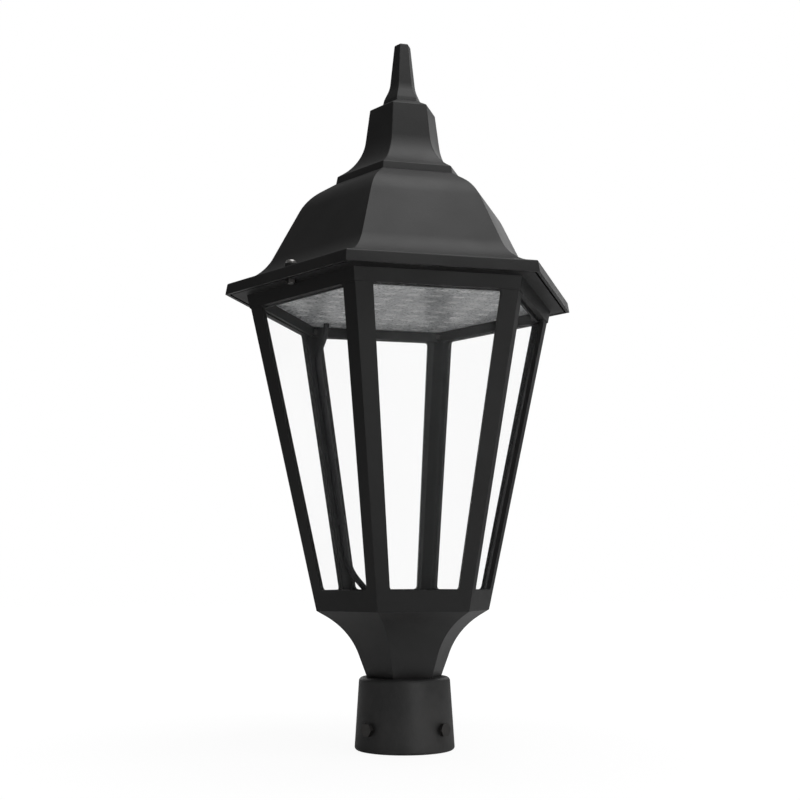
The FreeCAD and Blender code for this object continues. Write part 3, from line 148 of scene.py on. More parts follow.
# %% [markdown]
# ### Graphs and finishes
#
# `Graph` wraps a tree of nodes. Its `node` is the one way in which a node is made here: the kind
# first, then its settings, then what its inputs are fed, each with a number or a signal. `Finish`
# is the graph of one material, with a short method for each pattern that a surface is built
# from: clouds of noise, cells, soft steps, blends of two colours and a bump.

# %% Graphs and finishes
class Graph:
    """A tree of nodes with one way to add to it."""

    def __init__(self, tree):
        self.tree = tree

    def node(self, kind, settings=None, inputs=None):
        made = self.tree.nodes.new(kind)
        for key, value in (settings or {}).items():
            setattr(made, key, value)
        for key, value in (inputs or {}).items():
            self.feed(made.inputs[key], value)
        return made

    def feed(self, socket, value):
        if isinstance(value, Signal):
            self.tree.links.new(value.socket, socket)
        else:
            socket.default_value = value

    def signal(self, node, output=0):
        return Signal(self, node.outputs[output])


class Finish(Graph):
    """The graph of a material, starting from its Principled shader."""

    def __init__(self, name):
        self.material = bpy.data.materials.new(name)
        self.material.use_nodes = True
        super().__init__(self.material.node_tree)
        self.shader = self.tree.nodes["Principled BSDF"]
        self.place = self.signal(self.node("ShaderNodeTexCoord"), "Object")

    def noise(self, scale, detail=2.0, roughness=0.5):
        """Clouds from 0 to 1, with as many waves in a metre as the scale says."""
        made = self.node("ShaderNodeTexNoise", {}, {
            "Vector": self.place, "Scale": scale, "Detail": detail,
            "Roughness": roughness})
        return self.signal(made, "Fac")

    def warped(self, scale, reach):
        """The piece's coordinates, shifted here and there by up to a reach in metres."""
        cloud = self.node("ShaderNodeTexNoise", {}, {"Vector": self.place, "Scale": scale})
        shift = self.node("ShaderNodeVectorMath", {"operation": "MULTIPLY_ADD"}, {
            0: self.signal(cloud, "Color"), 1: (reach, reach, 0), 2: self.place})
        return self.signal(shift, "Vector")

    def axes(self, vector):
        """The three parts of a vector."""
        made = self.node("ShaderNodeSeparateXYZ", {}, {"Vector": vector})
        return [self.signal(made, axis) for axis in "XYZ"]

    def inside(self, distance, reach, soft):
        """1 where a distance is under a reach, with a soft edge."""
        return self.ramp(distance, reach + soft, reach - soft)

    def cells(self, scale, feature="F1"):
        """Distance to the middle or edge of the nearest cell."""
        made = self.node("ShaderNodeTexVoronoi", {"feature": feature}, {
            "Vector": self.place, "Scale": scale})
        return self.signal(made, "Distance")

    def ramp(self, value, low, high):
        """Spread a value between two limits over 0 to 1."""
        made = self.node("ShaderNodeMapRange", {}, {
            "Value": value, "From Min": low, "From Max": high})
        return self.signal(made, "Result")

    def mix(self, share, first, second):
        """Blend of two colours; 6, 7 and 2 are the node's colour sockets."""
        made = self.node("ShaderNodeMix", {"data_type": "RGBA"}, {0: share, 6: first, 7: second})
        return self.signal(made, 2)

    def bump(self, height, distance, strength=1.0):
        """Tilt the surface as if it rose by a height times a distance in metres."""
        made = self.node("ShaderNodeBump", {}, {
            "Height": height, "Distance": distance, "Strength": strength})
        self.feed(self.shader.inputs["Normal"], self.signal(made, "Normal"))

    def set(self, **inputs):
        """Feed the shader's inputs, with _ for each space in a name."""
        for key, value in inputs.items():
            self.feed(self.shader.inputs[key.replace("_", " ")], value)


def grey(level, warmth=0.0):
    """Linear colour of a grey, a little warm or cool."""
    return (level * (1 + warmth), level, level * (1 - warmth), 1)


print("finishes can be mixed")

# %% [markdown]
# ## Black powder coat
#
# The castings wear a satin black powder coat. Powder melts into a skin with a faint orange peel,
# about a millimetre across, and rides over the coarser waves of the casting below. Dust
# makes the coat a touch greyer and duller in places. A flat black would look like a hole in the
# picture, so the roughness wanders and the peel breaks up each highlight. The level is how much
# light the coat sends back. In the photo the cage reads darkest and the collar palest, so each
# group of castings has a level of its own. The coat is the same on all of them, so these levels
# are painted light and shade: the collar and bowl are painted paler for the light they catch, and
# the cage is painted darker for its shade.

# %% Powder coat
PEEL_SCALE = 700            # waves per metre
CASTING_SCALE = 45
DUST_SCALE = 14
DUST_LIMITS = (0.42, 0.75)  # dust fades in between these levels of its noise
DUST_PALER = 1.9            # how much paler dust is than the coat
COAT_RELIEF = 0.00035       # m, height of the casting's waves


def powder_coat(name, level, roughness):
    coat = Finish(name)
    peel = coat.noise(PEEL_SCALE, 3.0)
    waves = coat.noise(CASTING_SCALE, 2.0)
    dust = coat.ramp(coat.noise(DUST_SCALE, 4.0, 0.6), *DUST_LIMITS)
    coat.set(Base_Color=coat.mix(dust, grey(level), grey(level * DUST_PALER, 0.02)))
    coat.set(Roughness=roughness + 0.10 * dust + 0.06 * peel, IOR=1.5)
    coat.bump(0.35 * peel + waves, COAT_RELIEF, 0.55)
    return coat.material


# One coat covers all castings: the paler collar and bowl levels are painted light, and the darker
# cage level is painted shade.
casting_black = powder_coat("casting_black", 0.010, 0.44)
collar_black_painted_light = powder_coat("collar_black_painted_light", 0.036, 0.46)
bowl_black_painted_light = powder_coat("bowl_black_painted_light", 0.024, 0.46)
cage_black_painted_shade = powder_coat("cage_black_painted_shade", 0.005, 0.52)
sheet_black = powder_coat("sheet_black", 0.012, 0.48)
print("powder coats for castings, collar, bowl, cage and sheet")

# %% [markdown]
# ## Metals
#
# The screws are zinc plated or blackened steel and the tray over the lens is bare aluminium
# sheet. Bare metal is never quite even: a grain of about a millimetre spreads each highlight
# without hiding it, and broader stains from handling and weather take a fifth of the brightness
# away in places. The metal itself has almost no colour, only a little warmth on the steel.

# %% Metals
GRAIN_SCALE = 900
STAIN_SCALE = 60
GRAIN_RELIEF = 0.00008      # m


def bright_metal(name, level, roughness, warmth=0.0):
    metal = Finish(name)
    grain = metal.noise(GRAIN_SCALE, 4.0, 0.7)
    stain = metal.noise(STAIN_SCALE, 3.0)
    metal.set(Base_Color=metal.mix(stain, grey(level, warmth), grey(level * 0.8, warmth)))
    metal.set(Metallic=1.0, Roughness=roughness + 0.12 * grain)
    metal.bump(grain, GRAIN_RELIEF)
    return metal.material


plated_steel = bright_metal("plated_steel", 0.62, 0.24, 0.02)
black_steel = bright_metal("black_steel", 0.10, 0.34, 0.03)
bare_aluminium = bright_metal("bare_aluminium", 0.80, 0.30)
print("steel and aluminium")

# %% [markdown]
# ## Clear panes
#
# The panes are clear sheets that hardly show: against a white ground only a faint sheen tells
# that they are there. True refraction through two panes would grey the ground, so the pane is
# mostly see-through by its alpha, with a gloss that the Principled shader adds on top.

# %% Panes
PANE_ALPHA = 0.012          # share of the light that the body of the pane holds back
RIPPLE_SCALE = 9


def clear_pane():
    pane = Finish("clear_pane")
    ripple = pane.noise(RIPPLE_SCALE, 1.0)
    pane.set(Base_Color=(0.93, 0.96, 0.96, 1), IOR=1.49)
    pane.set(Roughness=0.03 + 0.03 * ripple, Alpha=PANE_ALPHA + 0.01 * ripple)
    return pane.material


pane_clear = clear_pane()
print(f"panes let {1 - PANE_ALPHA:.0%} of the light straight through")

# %% [markdown]
# ## The hammered lens
#
# The bright ceiling of the cage is a plate of textured acrylic. Its underside is hammered, so what
# lies above it shows only as soft dashes: one for each chip of the board, bent here and there by
# the dimples. The dashes are painted light, white put into the lens's colour where the chips show
# through. Near the front the dimples catch the dark of the cage and show as specks, a painted
# reflection of the cage, and a plate above the lens shows as a faint square of painted shade.
#
# All of this is drawn by the distance from something. `swing` measures how far a point is from
# the nearest row of chips, `away_from` how far it is from the middle of the square, and `inside`
# turns a distance into a shape with a soft edge. The coordinates are shifted by a slow noise
# first, and that bends every edge as the dimples do. Most of the light is scattered back and a
# little goes through, so a small transmission is enough.

# %% Lens
CHIP_PITCH = 0.022
DASH = (0.0056, 0.0036)             # half length and half width of a chip's dash
DASH_EDGE = (0.0012, 0.0008)        # how soft its ends and its sides are
SQUARE_CENTRE = (0.031, -0.042)
SQUARE_HALF = (0.018, 0.029)
SQUARE_EDGE = (0.0008, 0.0010)
FRONT = (-0.055, -0.085)            # the specks fade in between these two depths
SPECK_LIMITS = (0.56, 0.66)
CLOUD_LIMITS = (0.38, 0.68)
WARP_SCALE = 22
WARP_REACH = 0.004
SPECK_SCALE = 110
CLOUD_SCALE = 24
FINE_SCALE = 300
DIMPLE_SCALE = 95
DIMPLE_RELIEF = 0.0008
DULL_ACRYLIC = (0.50, 0.51, 0.52, 1)
BRIGHT_ACRYLIC = (0.78, 0.79, 0.79, 1)
# Painted colours: shade of the plate above, a reflection of the dark cage, and light where the
# chips show through.
PAINTED_PLATE_SHADE = (0.42, 0.43, 0.44, 1)
PAINTED_CAGE_REFLECTION = (0.10, 0.10, 0.11, 1)
PAINTED_CHIP_LIGHT = (1, 1, 1, 1)


def hammered_acrylic():
    lens = Finish("hammered_acrylic")
    bent_x, bent_y, _ = lens.axes(lens.warped(WARP_SCALE, WARP_REACH))
    dash = (lens.inside(bent_x.swing(CHIP_PITCH), DASH[0], DASH_EDGE[0])
            * lens.inside(bent_y.swing(CHIP_PITCH), DASH[1], DASH_EDGE[1]))
    square_x = bent_x.away_from(SQUARE_CENTRE[0])
    square_y = bent_y.away_from(SQUARE_CENTRE[1])
    square = (lens.inside(square_x, SQUARE_HALF[0], SQUARE_EDGE[0])
              * lens.inside(square_y, SQUARE_HALF[1], SQUARE_EDGE[1]))
    _, plain_y, _ = lens.axes(lens.place)
    front = lens.ramp(plain_y, *FRONT)
    specks = lens.ramp(lens.noise(SPECK_SCALE, 4.0, 0.75), *SPECK_LIMITS) * front
    clouds = lens.ramp(lens.noise(CLOUD_SCALE, 5.0, 0.6), *CLOUD_LIMITS)
    dimples = lens.cells(DIMPLE_SCALE, "SMOOTH_F1")
    fine = lens.noise(FINE_SCALE, 1.0)
    shade = lens.mix(clouds, DULL_ACRYLIC, BRIGHT_ACRYLIC)
    # Over the lens's own clouds go the painted shade of the plate, the painted reflection of the
    # cage and the painted light of the chips.
    shade = lens.mix(0.35 * square, shade, PAINTED_PLATE_SHADE)
    shade = lens.mix(0.8 * specks, shade, PAINTED_CAGE_REFLECTION)
    shade = lens.mix(dash, shade, PAINTED_CHIP_LIGHT)
    lens.set(Base_Color=shade, Transmission_Weight=0.12, IOR=1.49)
    lens.set(Roughness=0.22 + 0.12 * fine)
    lens.bump(dimples + 0.3 * clouds, DIMPLE_RELIEF, 0.45)
    return lens.material


lens_finish = hammered_acrylic()
print(f"a dash every {CHIP_PITCH * 1000:.0f} mm over the whole lens")

# %% [markdown]
# ## Rubber, boards and plastics
#
# The rest sits behind the lens or under the roof and shows when the roof is open. Moulded parts
# take the skin of their mould: a spark-eroded grain so fine that it only softens the gloss, with
# slow changes of shade where the stuff cooled unevenly. Rubber is duller and coarser than nylon.

# %% Rubber and plastics
SHADE_SCALE = 35


def moulded(name, colour, roughness, grain_scale, depth):
    stuff = Finish(name)
    grain = stuff.noise(grain_scale, 3.0, 0.6)
    shade = stuff.noise(SHADE_SCALE, 2.0)
    darker = tuple(0.8 * part for part in colour[:3]) + (1,)
    stuff.set(Base_Color=stuff.mix(0.6 * shade, colour, darker))
    stuff.set(Roughness=roughness + 0.15 * grain)
    stuff.bump(grain, depth)
    return stuff.material


rubber_black = moulded("rubber_black", (0.022, 0.022, 0.023, 1), 0.62, 1400, 0.00010)
cable_black = moulded("cable_black", (0.020, 0.020, 0.022, 1), 0.48, 900, 0.00006)
nylon_white = moulded("nylon_white", (0.66, 0.65, 0.61, 1), 0.42, 1600, 0.00005)
case_white = moulded("case_white", (0.74, 0.75, 0.76, 1), 0.36, 1500, 0.00005)
case_grey = moulded("case_grey", (0.30, 0.31, 0.33, 1), 0.40, 1500, 0.00006)
print("rubber, cable jacket, nylon and two case plastics")

# %% [markdown]
# ### The board and its chips
#
# A lamp's circuit board is white lacquer over fields of copper, parted by thin gaps. The cells of
# a Voronoi pattern have just such borders: where the distance to an edge is small the board gets
# a greyer gap, a few hundredths of a millimetre lower than the fields. A chip's face is a gel
# full of yellow phosphor grains.

# %% Board and chips
FIELD_SCALE = 55
GAP_LIMITS = (0.02, 0.05)
GAP_DEPTH = 0.00004
GLOSS_SCALE = 300
PHOSPHOR_SCALE = 3000
PHOSPHOR_RELIEF = 0.00002
LACQUER = (0.80, 0.82, 0.79, 1)
GAP_GREY = (0.52, 0.55, 0.50, 1)
PALE_PHOSPHOR = (0.95, 0.80, 0.30, 1)
DEEP_PHOSPHOR = (0.90, 0.70, 0.20, 1)


def circuit_board():
    board = Finish("circuit_board")
    edge = board.ramp(board.cells(FIELD_SCALE, "DISTANCE_TO_EDGE"), *GAP_LIMITS)
    board.set(Base_Color=board.mix(edge, GAP_GREY, LACQUER))
    board.set(Roughness=0.26 + 0.08 * board.noise(GLOSS_SCALE), Coat_Weight=0.3)
    board.bump(edge, GAP_DEPTH)
    return board.material


def phosphor():
    chip = Finish("phosphor")
    grain = chip.noise(PHOSPHOR_SCALE, 2.0)
    chip.set(Base_Color=chip.mix(grain, PALE_PHOSPHOR, DEEP_PHOSPHOR))
    chip.set(Roughness=0.22 + 0.2 * grain)
    chip.bump(grain, PHOSPHOR_RELIEF)
    return chip.material


board_white = circuit_board()
chip_yellow = phosphor()
print(f"{len(bpy.data.materials)} materials so far")

# %% [markdown]
# ## Every piece gets its finish
#
# The names of the pieces say what they are, so one short table of name parts gives each node its
# material. The first part that fits a node's name wins, so the special cases stand before the
# general ones: the blackened screws before all other screws, the gaskets and grommets before the
# pieces that they are named after.

# %% Paint the pieces
PAINT = [
    ("collar_bolts", plated_steel), ("collar", collar_black_painted_light), ("set_screw", black_steel),
    ("post_screws", black_steel), ("screw", plated_steel), ("grommet", rubber_black),
    ("gasket", rubber_black), ("bowl", bowl_black_painted_light), ("ring", cage_black_painted_shade),
    ("base_plate", sheet_black), ("corner_post", cage_black_painted_shade), ("pane", pane_clear),
    ("lens", lens_finish), ("light_tray", bare_aluminium), ("board_spacers", nylon_white),
    ("led_board", board_white), ("led_chips", chip_yellow), ("led_driver", case_white),
    ("terminal_block", nylon_white), ("cable", cable_black), ("lead", cable_black),
    ("roof_cap", casting_black), ("hinge_pin", plated_steel), ("hinge", sheet_black),
    ("roof", casting_black), ("finial", casting_black), ("tie", plated_steel),
    ("latch_nut", black_steel),
]


def paint_for(name):
    for part, material in PAINT:
        if part in name:
            return material
    raise ValueError(f"no finish for {name}")


for name, piece in nodes.items():
    piece.data.materials.clear()
    piece.data.materials.append(paint_for(name))
print(f"{len(nodes)} pieces painted")

# %% [markdown]
# ## Soft edges
#
# No cast edge is knife sharp, and the thin bright line on a rounded edge is what makes metal look
# solid. Modifiers do it without touching the model: one welds points that lie on each other and
# smooths the faces that meet at a gentle angle, and a fine bevel rounds the other edges. The
# heavy castings of the roof are rounder than a thin post or the head of a clamp screw. Small
# fasteners, panes and seals go without.

# %% Edge rounding
SMOOTH_ANGLE = math.radians(28)
WELD_DISTANCE = 2e-6        # m
EDGE_WIDTHS = {             # m, by the name without its number
    "roof": 0.0008, "roof_cap": 0.0008, "led_driver": 0.0008, "finial": 0.0007,
    "bowl": 0.0006, "bottom_ring": 0.0006, "top_ring": 0.0005, "terminal_block": 0.0005,
    "collar": 0.0004, "set_screw": 0.0004, "corner_post": 0.0004,
}


def smoothing_group():
    """Node group that welds a mesh and marks only its steep edges as sharp."""
    group = bpy.data.node_groups.new("weld_and_smooth", "GeometryNodeTree")
    group.interface.new_socket("Geometry", in_out="INPUT", socket_type="NodeSocketGeometry")
    group.interface.new_socket("Geometry", in_out="OUTPUT", socket_type="NodeSocketGeometry")
    graph = Graph(group)
    start = graph.node("NodeGroupInput")
    weld = graph.node("GeometryNodeMergeByDistance", {}, {
        "Geometry": graph.signal(start), "Distance": WELD_DISTANCE})
    faces = graph.node("GeometryNodeSetShadeSmooth", {}, {"Geometry": graph.signal(weld)})
    angle = graph.node("GeometryNodeInputMeshEdgeAngle")
    gentle = graph.node("FunctionNodeCompare", {"data_type": "FLOAT", "operation": "LESS_THAN"}, {
        0: graph.signal(angle, "Unsigned Angle"), 1: SMOOTH_ANGLE})
    edges = graph.node("GeometryNodeSetShadeSmooth", {"domain": "EDGE"}, {
        "Geometry": graph.signal(faces), "Shade Smooth": graph.signal(gentle)})
    graph.node("NodeGroupOutput", {}, {0: graph.signal(edges)})
    return group


SMOOTHING = smoothing_group()


def round_edges(piece, width):
    if piece.data.has_custom_normals:
        bpy.context.view_layer.objects.active = piece
        bpy.ops.mesh.customdata_custom_splitnormals_clear()
    weld = piece.modifiers.new("weld_and_smooth", "NODES")
    weld.node_group = SMOOTHING
    if width:
        bevel = piece.modifiers.new("soft_edges", "BEVEL")
        bevel.width = width
        bevel.segments = 2
        bevel.limit_method = "ANGLE"
        bevel.angle_limit = SMOOTH_ANGLE
        bevel.harden_normals = True
        bevel.use_clamp_overlap = True


bevelled = 0
for name, piece in nodes.items():
    width = EDGE_WIDTHS.get(name.rstrip("_0123456789"), 0)
    round_edges(piece, width)
    bevelled += width > 0
print(f"{bevelled} of {len(nodes)} pieces with soft edges")

# %% [markdown]
# ## Small forms for the open roof
#
# With the roof swung up, the light unit lies open to the eye: a driver with ribbed end caps, a
# terminal block with its wire mouths, and screws with cross recesses. These forms are too fine
# for the construction, so they are built here as meshes and laid on the pieces that carry them.
# `SmallForm` gathers bevelled slabs and round studs in one mesh. Each of its methods takes a
# placement, so the same form can stand at any angle round the lantern.

# %% A helper for small forms
class SmallForm:
    """A mesh that is put together from bevelled slabs and round studs."""

    def __init__(self, name):
        self.name = name
        self.mesh = bmesh.new()

    def slab(self, place, size, soft=0.0):
        """Box with its centre at the place; soft rounds its edges."""
        made = bmesh.ops.create_cube(self.mesh, size=1.0)
        corners = made["verts"]
        bmesh.ops.scale(self.mesh, vec=Vector(size), verts=corners)
        if soft:
            edges = list({edge for corner in corners for edge in corner.link_edges})
            shaped = bmesh.ops.bevel(self.mesh, geom=edges, offset=soft, segments=2,
                                     affect="EDGES", profile=0.5)
            corners = list({corner for side in shaped["faces"] for corner in side.verts})
        bmesh.ops.transform(self.mesh, matrix=place, verts=corners)

    def stud(self, place, profile, sides=20):
        """Round stud about the place's Z axis; profile lists radius and height."""
        turns = [2 * math.pi * side / sides for side in range(sides)]
        rings = [[self.mesh.verts.new(place @ Vector((
            radius * math.cos(turn), radius * math.sin(turn), rise))) for turn in turns]
            for radius, rise in profile]
        for lower, upper in zip(rings, rings[1:]):
            for side in range(sides):
                after = (side + 1) % sides
                self.mesh.faces.new((lower[side], lower[after], upper[after], upper[side]))
        self.mesh.faces.new(reversed(rings[0]))
        self.mesh.faces.new(rings[-1])

    def finish(self, material, body="lantern"):
        """Turn the mesh into a piece that moves with a body of the lantern."""
        bmesh.ops.recalc_face_normals(self.mesh, faces=self.mesh.faces)
        mesh = bpy.data.meshes.new(self.name)
        self.mesh.to_mesh(mesh)
        self.mesh.free()
        piece = bpy.data.objects.new(self.name, mesh)
        bpy.context.scene.collection.objects.link(piece)
        mesh.materials.append(material)
        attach(piece, body)
        print(f"{self.name}: {len(mesh.polygons)} faces")


def at(x, y, z, turn=0.0):
    """Placement at a point, turned about the vertical."""
    return Matrix.Translation((x, y, z)) @ Matrix.Rotation(turn, 4, "Z")


def around(azimuth, radius, z):
    """Placement at an azimuth in radians, with its own X axis pointing outwards."""
    return at(radius * math.cos(azimuth), radius * math.sin(azimuth), z, azimuth)


print("slabs and studs can be placed anywhere")

# %% [markdown]
# ### Driver end caps
#
# A plastic driver is a tray with a clipped-on lid. Its ends carry a cap with a few ribs that the
# fingers hold. Each cap is one slab that stands a hair proud of the case, with ribs on top.

# %% Driver end caps
CASE_LENGTH = 0.108
CAP_LENGTH = 0.013
CAP_PROUD = 0.0005          # how far a cap stands out of the case
CAP_LOWER = 0.0036          # how much lower a cap is than the case with its feet
CAP_LIFT = 0.0021
CAP_SOFT = 0.0009
RIB_COUNT = 5
RIB_PITCH = 0.0022
RIB_SHARE = 0.72            # of the width of the case
RIB_SIZE = (0.0009, 0.0010) # thickness and height
RIB_SOFT = 0.0003
RIB_RISE = 0.0006           # of a rib's middle over the case
driver_low, driver_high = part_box("led_driver")


def driver_end_caps():
    caps = SmallForm("driver_end_caps")
    middle = (driver_low + driver_high) / 2
    width = driver_high.y - driver_low.y
    tall = driver_high.z - driver_low.z
    cap = (CAP_LENGTH + CAP_PROUD, width + 2 * CAP_PROUD, tall - CAP_LOWER)
    rib_size = (RIB_SIZE[0], width * RIB_SHARE, RIB_SIZE[1])
    for side in (-1, 1):
        x = side * (CASE_LENGTH - CAP_LENGTH) / 2
        caps.slab(at(x, middle.y, middle.z + CAP_LIFT), cap, CAP_SOFT)
        for rib in range(RIB_COUNT):
            spot = x + (rib - (RIB_COUNT - 1) / 2) * RIB_PITCH
            caps.slab(at(spot, middle.y, driver_high.z + RIB_RISE), rib_size, RIB_SOFT)
    caps.finish(case_grey)


driver_end_caps()

# %% [markdown]
# ### Mouths of the terminal block
#
# Three wires go in by mouths along the outer side, and two rows of slotted clamp screws on top
# grip them and the leads. Each mouth is a thin raised frame of four slabs, whose shadow draws it.
# Each clamp screw is a low turned stud with a slot laid across it: a thin dark slab that is
# painted shade for the groove. The slots are turned differently, as screws are that a hand has
# tightened.

# %% Terminal block
CABLE_TURN = math.radians(120)      # azimuth of the cable and its block
BLOCK_REACH = 0.080
BLOCK_HALF = 0.008                  # half its width
BLOCK_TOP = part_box("terminal_block")[1].z
TRAY_TOP = driver_low.z
WIRES = 3
WIRE_PITCH = 0.0056
CLAMP_REACH = 0.0048
CLAMP = [(0.0021, -0.0004), (0.0021, 0.0004), (0.0017, 0.0007)]
SLOT_SHADE_SIZE = (0.0034, 0.0005, 0.00012)
SLOT_RISE = 0.00068
MOUTH_RISE = 0.0065
MOUTH_HALF = 0.0022
UPRIGHT = (0.0008, 0.0006, 0.0050)
LEVEL_BAR = (0.0008, 0.0044, 0.0006)
MOUTH_SOFT = 0.0002


def wire_offsets():
    return [(wire - (WIRES - 1) / 2) * WIRE_PITCH for wire in range(WIRES)]


def block_clamps():
    clamps = SmallForm("block_clamps")
    slots = SmallForm("block_clamp_slots")
    centre = around(CABLE_TURN, BLOCK_REACH, BLOCK_TOP)
    for wire, along in enumerate(wire_offsets()):
        for side in (-1, 1):
            spot = centre @ at(side * CLAMP_REACH, along, 0)
            clamps.stud(spot, CLAMP)
            # The slot is a thin dark slab of painted shade.
            slots.slab(spot @ at(0, 0, SLOT_RISE, 0.5 * wire + side), SLOT_SHADE_SIZE)
    clamps.finish(plated_steel)
    slots.finish(black_steel)


def block_mouths():
    frames = SmallForm("block_mouths")
    face = around(CABLE_TURN, BLOCK_REACH + BLOCK_HALF, TRAY_TOP + MOUTH_RISE)
    for along in wire_offsets():
        for side in (-1, 1):
            frames.slab(face @ at(0, along + side * MOUTH_HALF, 0), UPRIGHT, MOUTH_SOFT)
            frames.slab(face @ at(0, along, side * MOUTH_HALF), LEVEL_BAR, MOUTH_SOFT)
    frames.finish(nylon_white)


block_clamps()
block_mouths()

# %% [markdown]
# ### Cross recesses
#
# The recess in a screw head is a dark plus sign to the eye, because it lies in shade. Two thin
# dark slabs on each head give it as painted shade, and since nobody lines screws up by hand, each
# cross is turned a little differently.
# The height of the heads is read from the imported screws, so a cross can't sink or float.

# %% Cross recesses
FACE_TURNS = [math.radians(30 + 60 * face) for face in range(6)]
SHADE_CROSS_BAR = (0.0036, 0.0007, 0.00012)
BOWL_SCREW_CIRCLE = 0.056
TRAY_SCREW_CIRCLE = 0.1278
DRIVER_SCREW_REACH = 0.059
DRIVER_OFFSET = -0.020
BLOCK_SCREW_REACH = 0.010


def cross_recesses(screws, places):
    """A cross on each head of a group of screws, lifted from the places to the heads' tops."""
    crosses = SmallForm(screws.replace("screws", "screw_crosses"))
    lift = at(0, 0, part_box(screws)[1].z)
    for count, place in enumerate(places):
        for quarter in (0, 1):
            turn = at(0, 0, 0, 0.7 * count + quarter * math.pi / 2)
            # Each bar is a dark slab of painted shade where the recess lies.
            crosses.slab(lift @ place @ turn, SHADE_CROSS_BAR)
    crosses.finish(black_steel)


block_middle = around(CABLE_TURN, BLOCK_REACH, 0)
cross_recesses("bowl_screws", [around(turn, BOWL_SCREW_CIRCLE, 0) for turn in FACE_TURNS])
cross_recesses("tray_screws", [around(turn, TRAY_SCREW_CIRCLE, 0) for turn in FACE_TURNS])
cross_recesses("driver_screws", [at(side * DRIVER_SCREW_REACH, DRIVER_OFFSET, 0)
                                 for side in (-1, 1)])
cross_recesses("block_screws", [block_middle @ at(0, side * BLOCK_SCREW_REACH, 0)
                                for side in (-1, 1)])

# %% [markdown]
# ### Phosphor domes
#
# Each chip carries a shallow dome of phosphor on the side that faces down. The chips stand in
# straight rows over the board, but not in its middle, where it has a hole, nor past its rim. The
# same rule places a dome under each of them, in rows at the pitch of the dashes on the lens.

# %% Phosphor domes
CHIP_REACH = (0.019, 0.086)         # chips lie between these distances from the middle
CHIP_ROWS = range(-3, 4)
DOME = [(0.0020, -0.0001), (0.0019, 0.0002), (0.0011, 0.0004)]
DOME_SIDES = 14


def phosphor_domes():
    domes = SmallForm("phosphor_domes")
    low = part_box("led_chips")[0].z
    upside_down = Matrix.Rotation(math.pi, 4, "X")
    for row in CHIP_ROWS:
        for column in CHIP_ROWS:
            x, y = row * CHIP_PITCH, column * CHIP_PITCH
            if CHIP_REACH[0] <= math.hypot(x, y) <= CHIP_REACH[1]:
                domes.stud(at(x, y, low) @ upside_down, DOME, DOME_SIDES)
    domes.finish(chip_yellow)


phosphor_domes()

# %% [markdown]
# ## The studio
#
# The lantern stands in a white studio. White walls on every side would light it flat and grey its
# black coat, so the world is white only where it is looked at: straight, or through the panes.
# The rays that light the lantern meet a dim world, and those that its gloss sends back a world
# only a little brighter. The Light Path node says which kind of ray is asking, and the brightest
# of the three answers counts.

# %% World
WORLD_LIGHT = 0.055
WORLD_IN_GLOSS = 0.10
WHITE = (1, 1, 1, 1)


def studio_world():
    world = bpy.data.worlds.new("studio")
    world.use_nodes = True
    graph = Graph(world.node_tree)
    path = graph.node("ShaderNodeLightPath")
    looked_at = graph.signal(path, "Is Camera Ray").maximum(
        graph.signal(path, "Is Transmission Ray"))
    mirrored = WORLD_IN_GLOSS * graph.signal(path, "Is Glossy Ray")
    background = world.node_tree.nodes["Background"]
    graph.feed(background.inputs["Color"], WHITE)
    graph.feed(background.inputs["Strength"], mirrored.maximum(looked_at).maximum(WORLD_LIGHT))
    return world


bpy.context.scene.world = studio_world()
print(f"a world of {WORLD_LIGHT} that looks white")

# %% [markdown]
# ### The floor
#
# The floor is a sheet of white paper. Lit only by the lamps it would be a light grey, so to the
# camera alone it glows a little as well. Near the lantern the glow is held back and lets a soft
# shadow show, and further off it takes over, so the paper fades into the white behind it.

# %% Floor
FLOOR_SIZE = 12.0
FLOOR_DROP = 0.0002         # m under the lantern's foot, so the two never share a face
PAPER = (0.86, 0.86, 0.86, 1)
PAPER_GLOW = 1.08
GLOW_NEAR = 0.86            # share of the glow beside the lantern
GLOW_FADE = (0.2, 1.2)      # m from the lantern over which the share grows to all


def floor_paper():
    paper = Finish("floor_paper")
    paper.set(Base_Color=PAPER, Roughness=0.9)
    path = paper.node("ShaderNodeLightPath")
    away = paper.node("ShaderNodeVectorMath", {"operation": "LENGTH"}, {0: paper.place})
    far = paper.ramp(paper.signal(away, "Value"), *GLOW_FADE)
    share = (GLOW_NEAR + (1 - GLOW_NEAR) * far) * paper.signal(path, "Is Camera Ray")
    glow = paper.node("ShaderNodeEmission", {}, {"Color": WHITE, "Strength": PAPER_GLOW})
    blend = paper.node("ShaderNodeMixShader", {}, {
        0: share, 1: paper.signal(paper.shader), 2: paper.signal(glow)})
    paper.feed(paper.tree.nodes["Material Output"].inputs["Surface"], paper.signal(blend))
    return paper.material


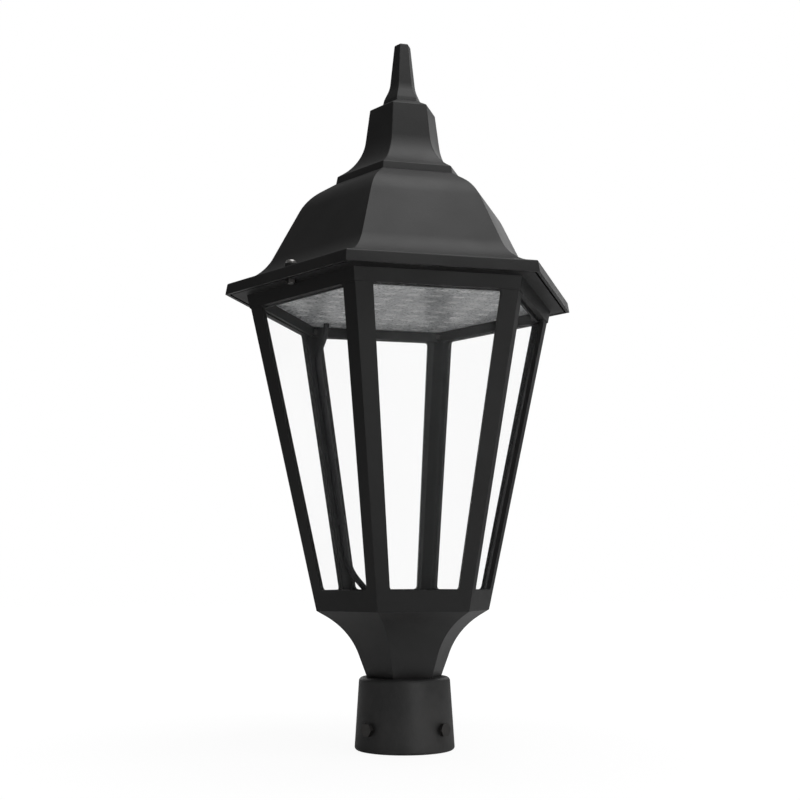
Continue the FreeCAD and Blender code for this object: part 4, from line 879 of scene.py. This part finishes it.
def studio_floor():
    mesh = bpy.data.meshes.new("studio_floor")
    half = FLOOR_SIZE / 2
    corners = [(-half, -half, 0), (half, -half, 0), (half, half, 0), (-half, half, 0)]
    mesh.from_pydata(corners, [], [(0, 1, 2, 3)])
    mesh.materials.append(floor_paper())
    floor = bpy.data.objects.new("studio_floor", mesh)
    floor.location.z = CAD_BOX[0].z - FLOOR_DROP
    bpy.context.scene.collection.objects.link(floor)


studio_floor()
print(f"{FLOOR_SIZE:.0f} m of white paper")

# %% [markdown]
# ### Lamps
#
# All lamps are soft squares. The strongest hangs high in front and a little to the right, and
# gives the front of the roof its pale sheen; the one straight above lights the shoulders. A weak
# lamp far on the right parts the right faces from the front ones. Two stand behind the lantern
# and draw its far posts and edges against the white. The last one is low in front: it is the only
# one that shines up into the cage, so it lights the lens.
#
# A glossy flat face shows whatever lies in its mirror direction. The left lamp behind stands
# where no face of the roof can throw its picture into the camera.

# %% Lamps
HIGH_AIM = (0, 0, 0.45)
MIDDLE_AIM = (0, 0, 0.35)
LOW_AIM = (0, 0, 0.30)
LAMPS = [
    # name, place, aim, side in metres, power in watts
    ("top_front", (0.5, -0.85, 2.4), HIGH_AIM, 2.0, 21),
    ("top", (0.1, 0.1, 2.3), HIGH_AIM, 1.6, 9),
    ("key_right", (1.7, -0.6, 0.9), MIDDLE_AIM, 0.9, 2.0),
    ("back_right", (1.2, 1.5, 1.1), MIDDLE_AIM, 1.2, 5),
    ("back_left", (-0.3, 2.0, 0.8), MIDDLE_AIM, 1.2, 5),
    ("low_front", (0.45, -1.5, 0.28), LOW_AIM, 0.5, 2.9),
]


def soft_lamp(name, place, aim, side, power):
    data = bpy.data.lights.new(name, "AREA")
    data.shape = "SQUARE"
    data.size = side
    data.energy = power
    lamp = bpy.data.objects.new(name, data)
    lamp.location = place
    towards = Vector(aim) - Vector(place)
    lamp.rotation_euler = towards.to_track_quat("-Z", "Y").to_euler()
    bpy.context.scene.collection.objects.link(lamp)


for lamp in LAMPS:
    soft_lamp(*lamp)
bpy.context.scene.view_settings.view_transform = "Standard"
print(f"{len(LAMPS)} lamps")
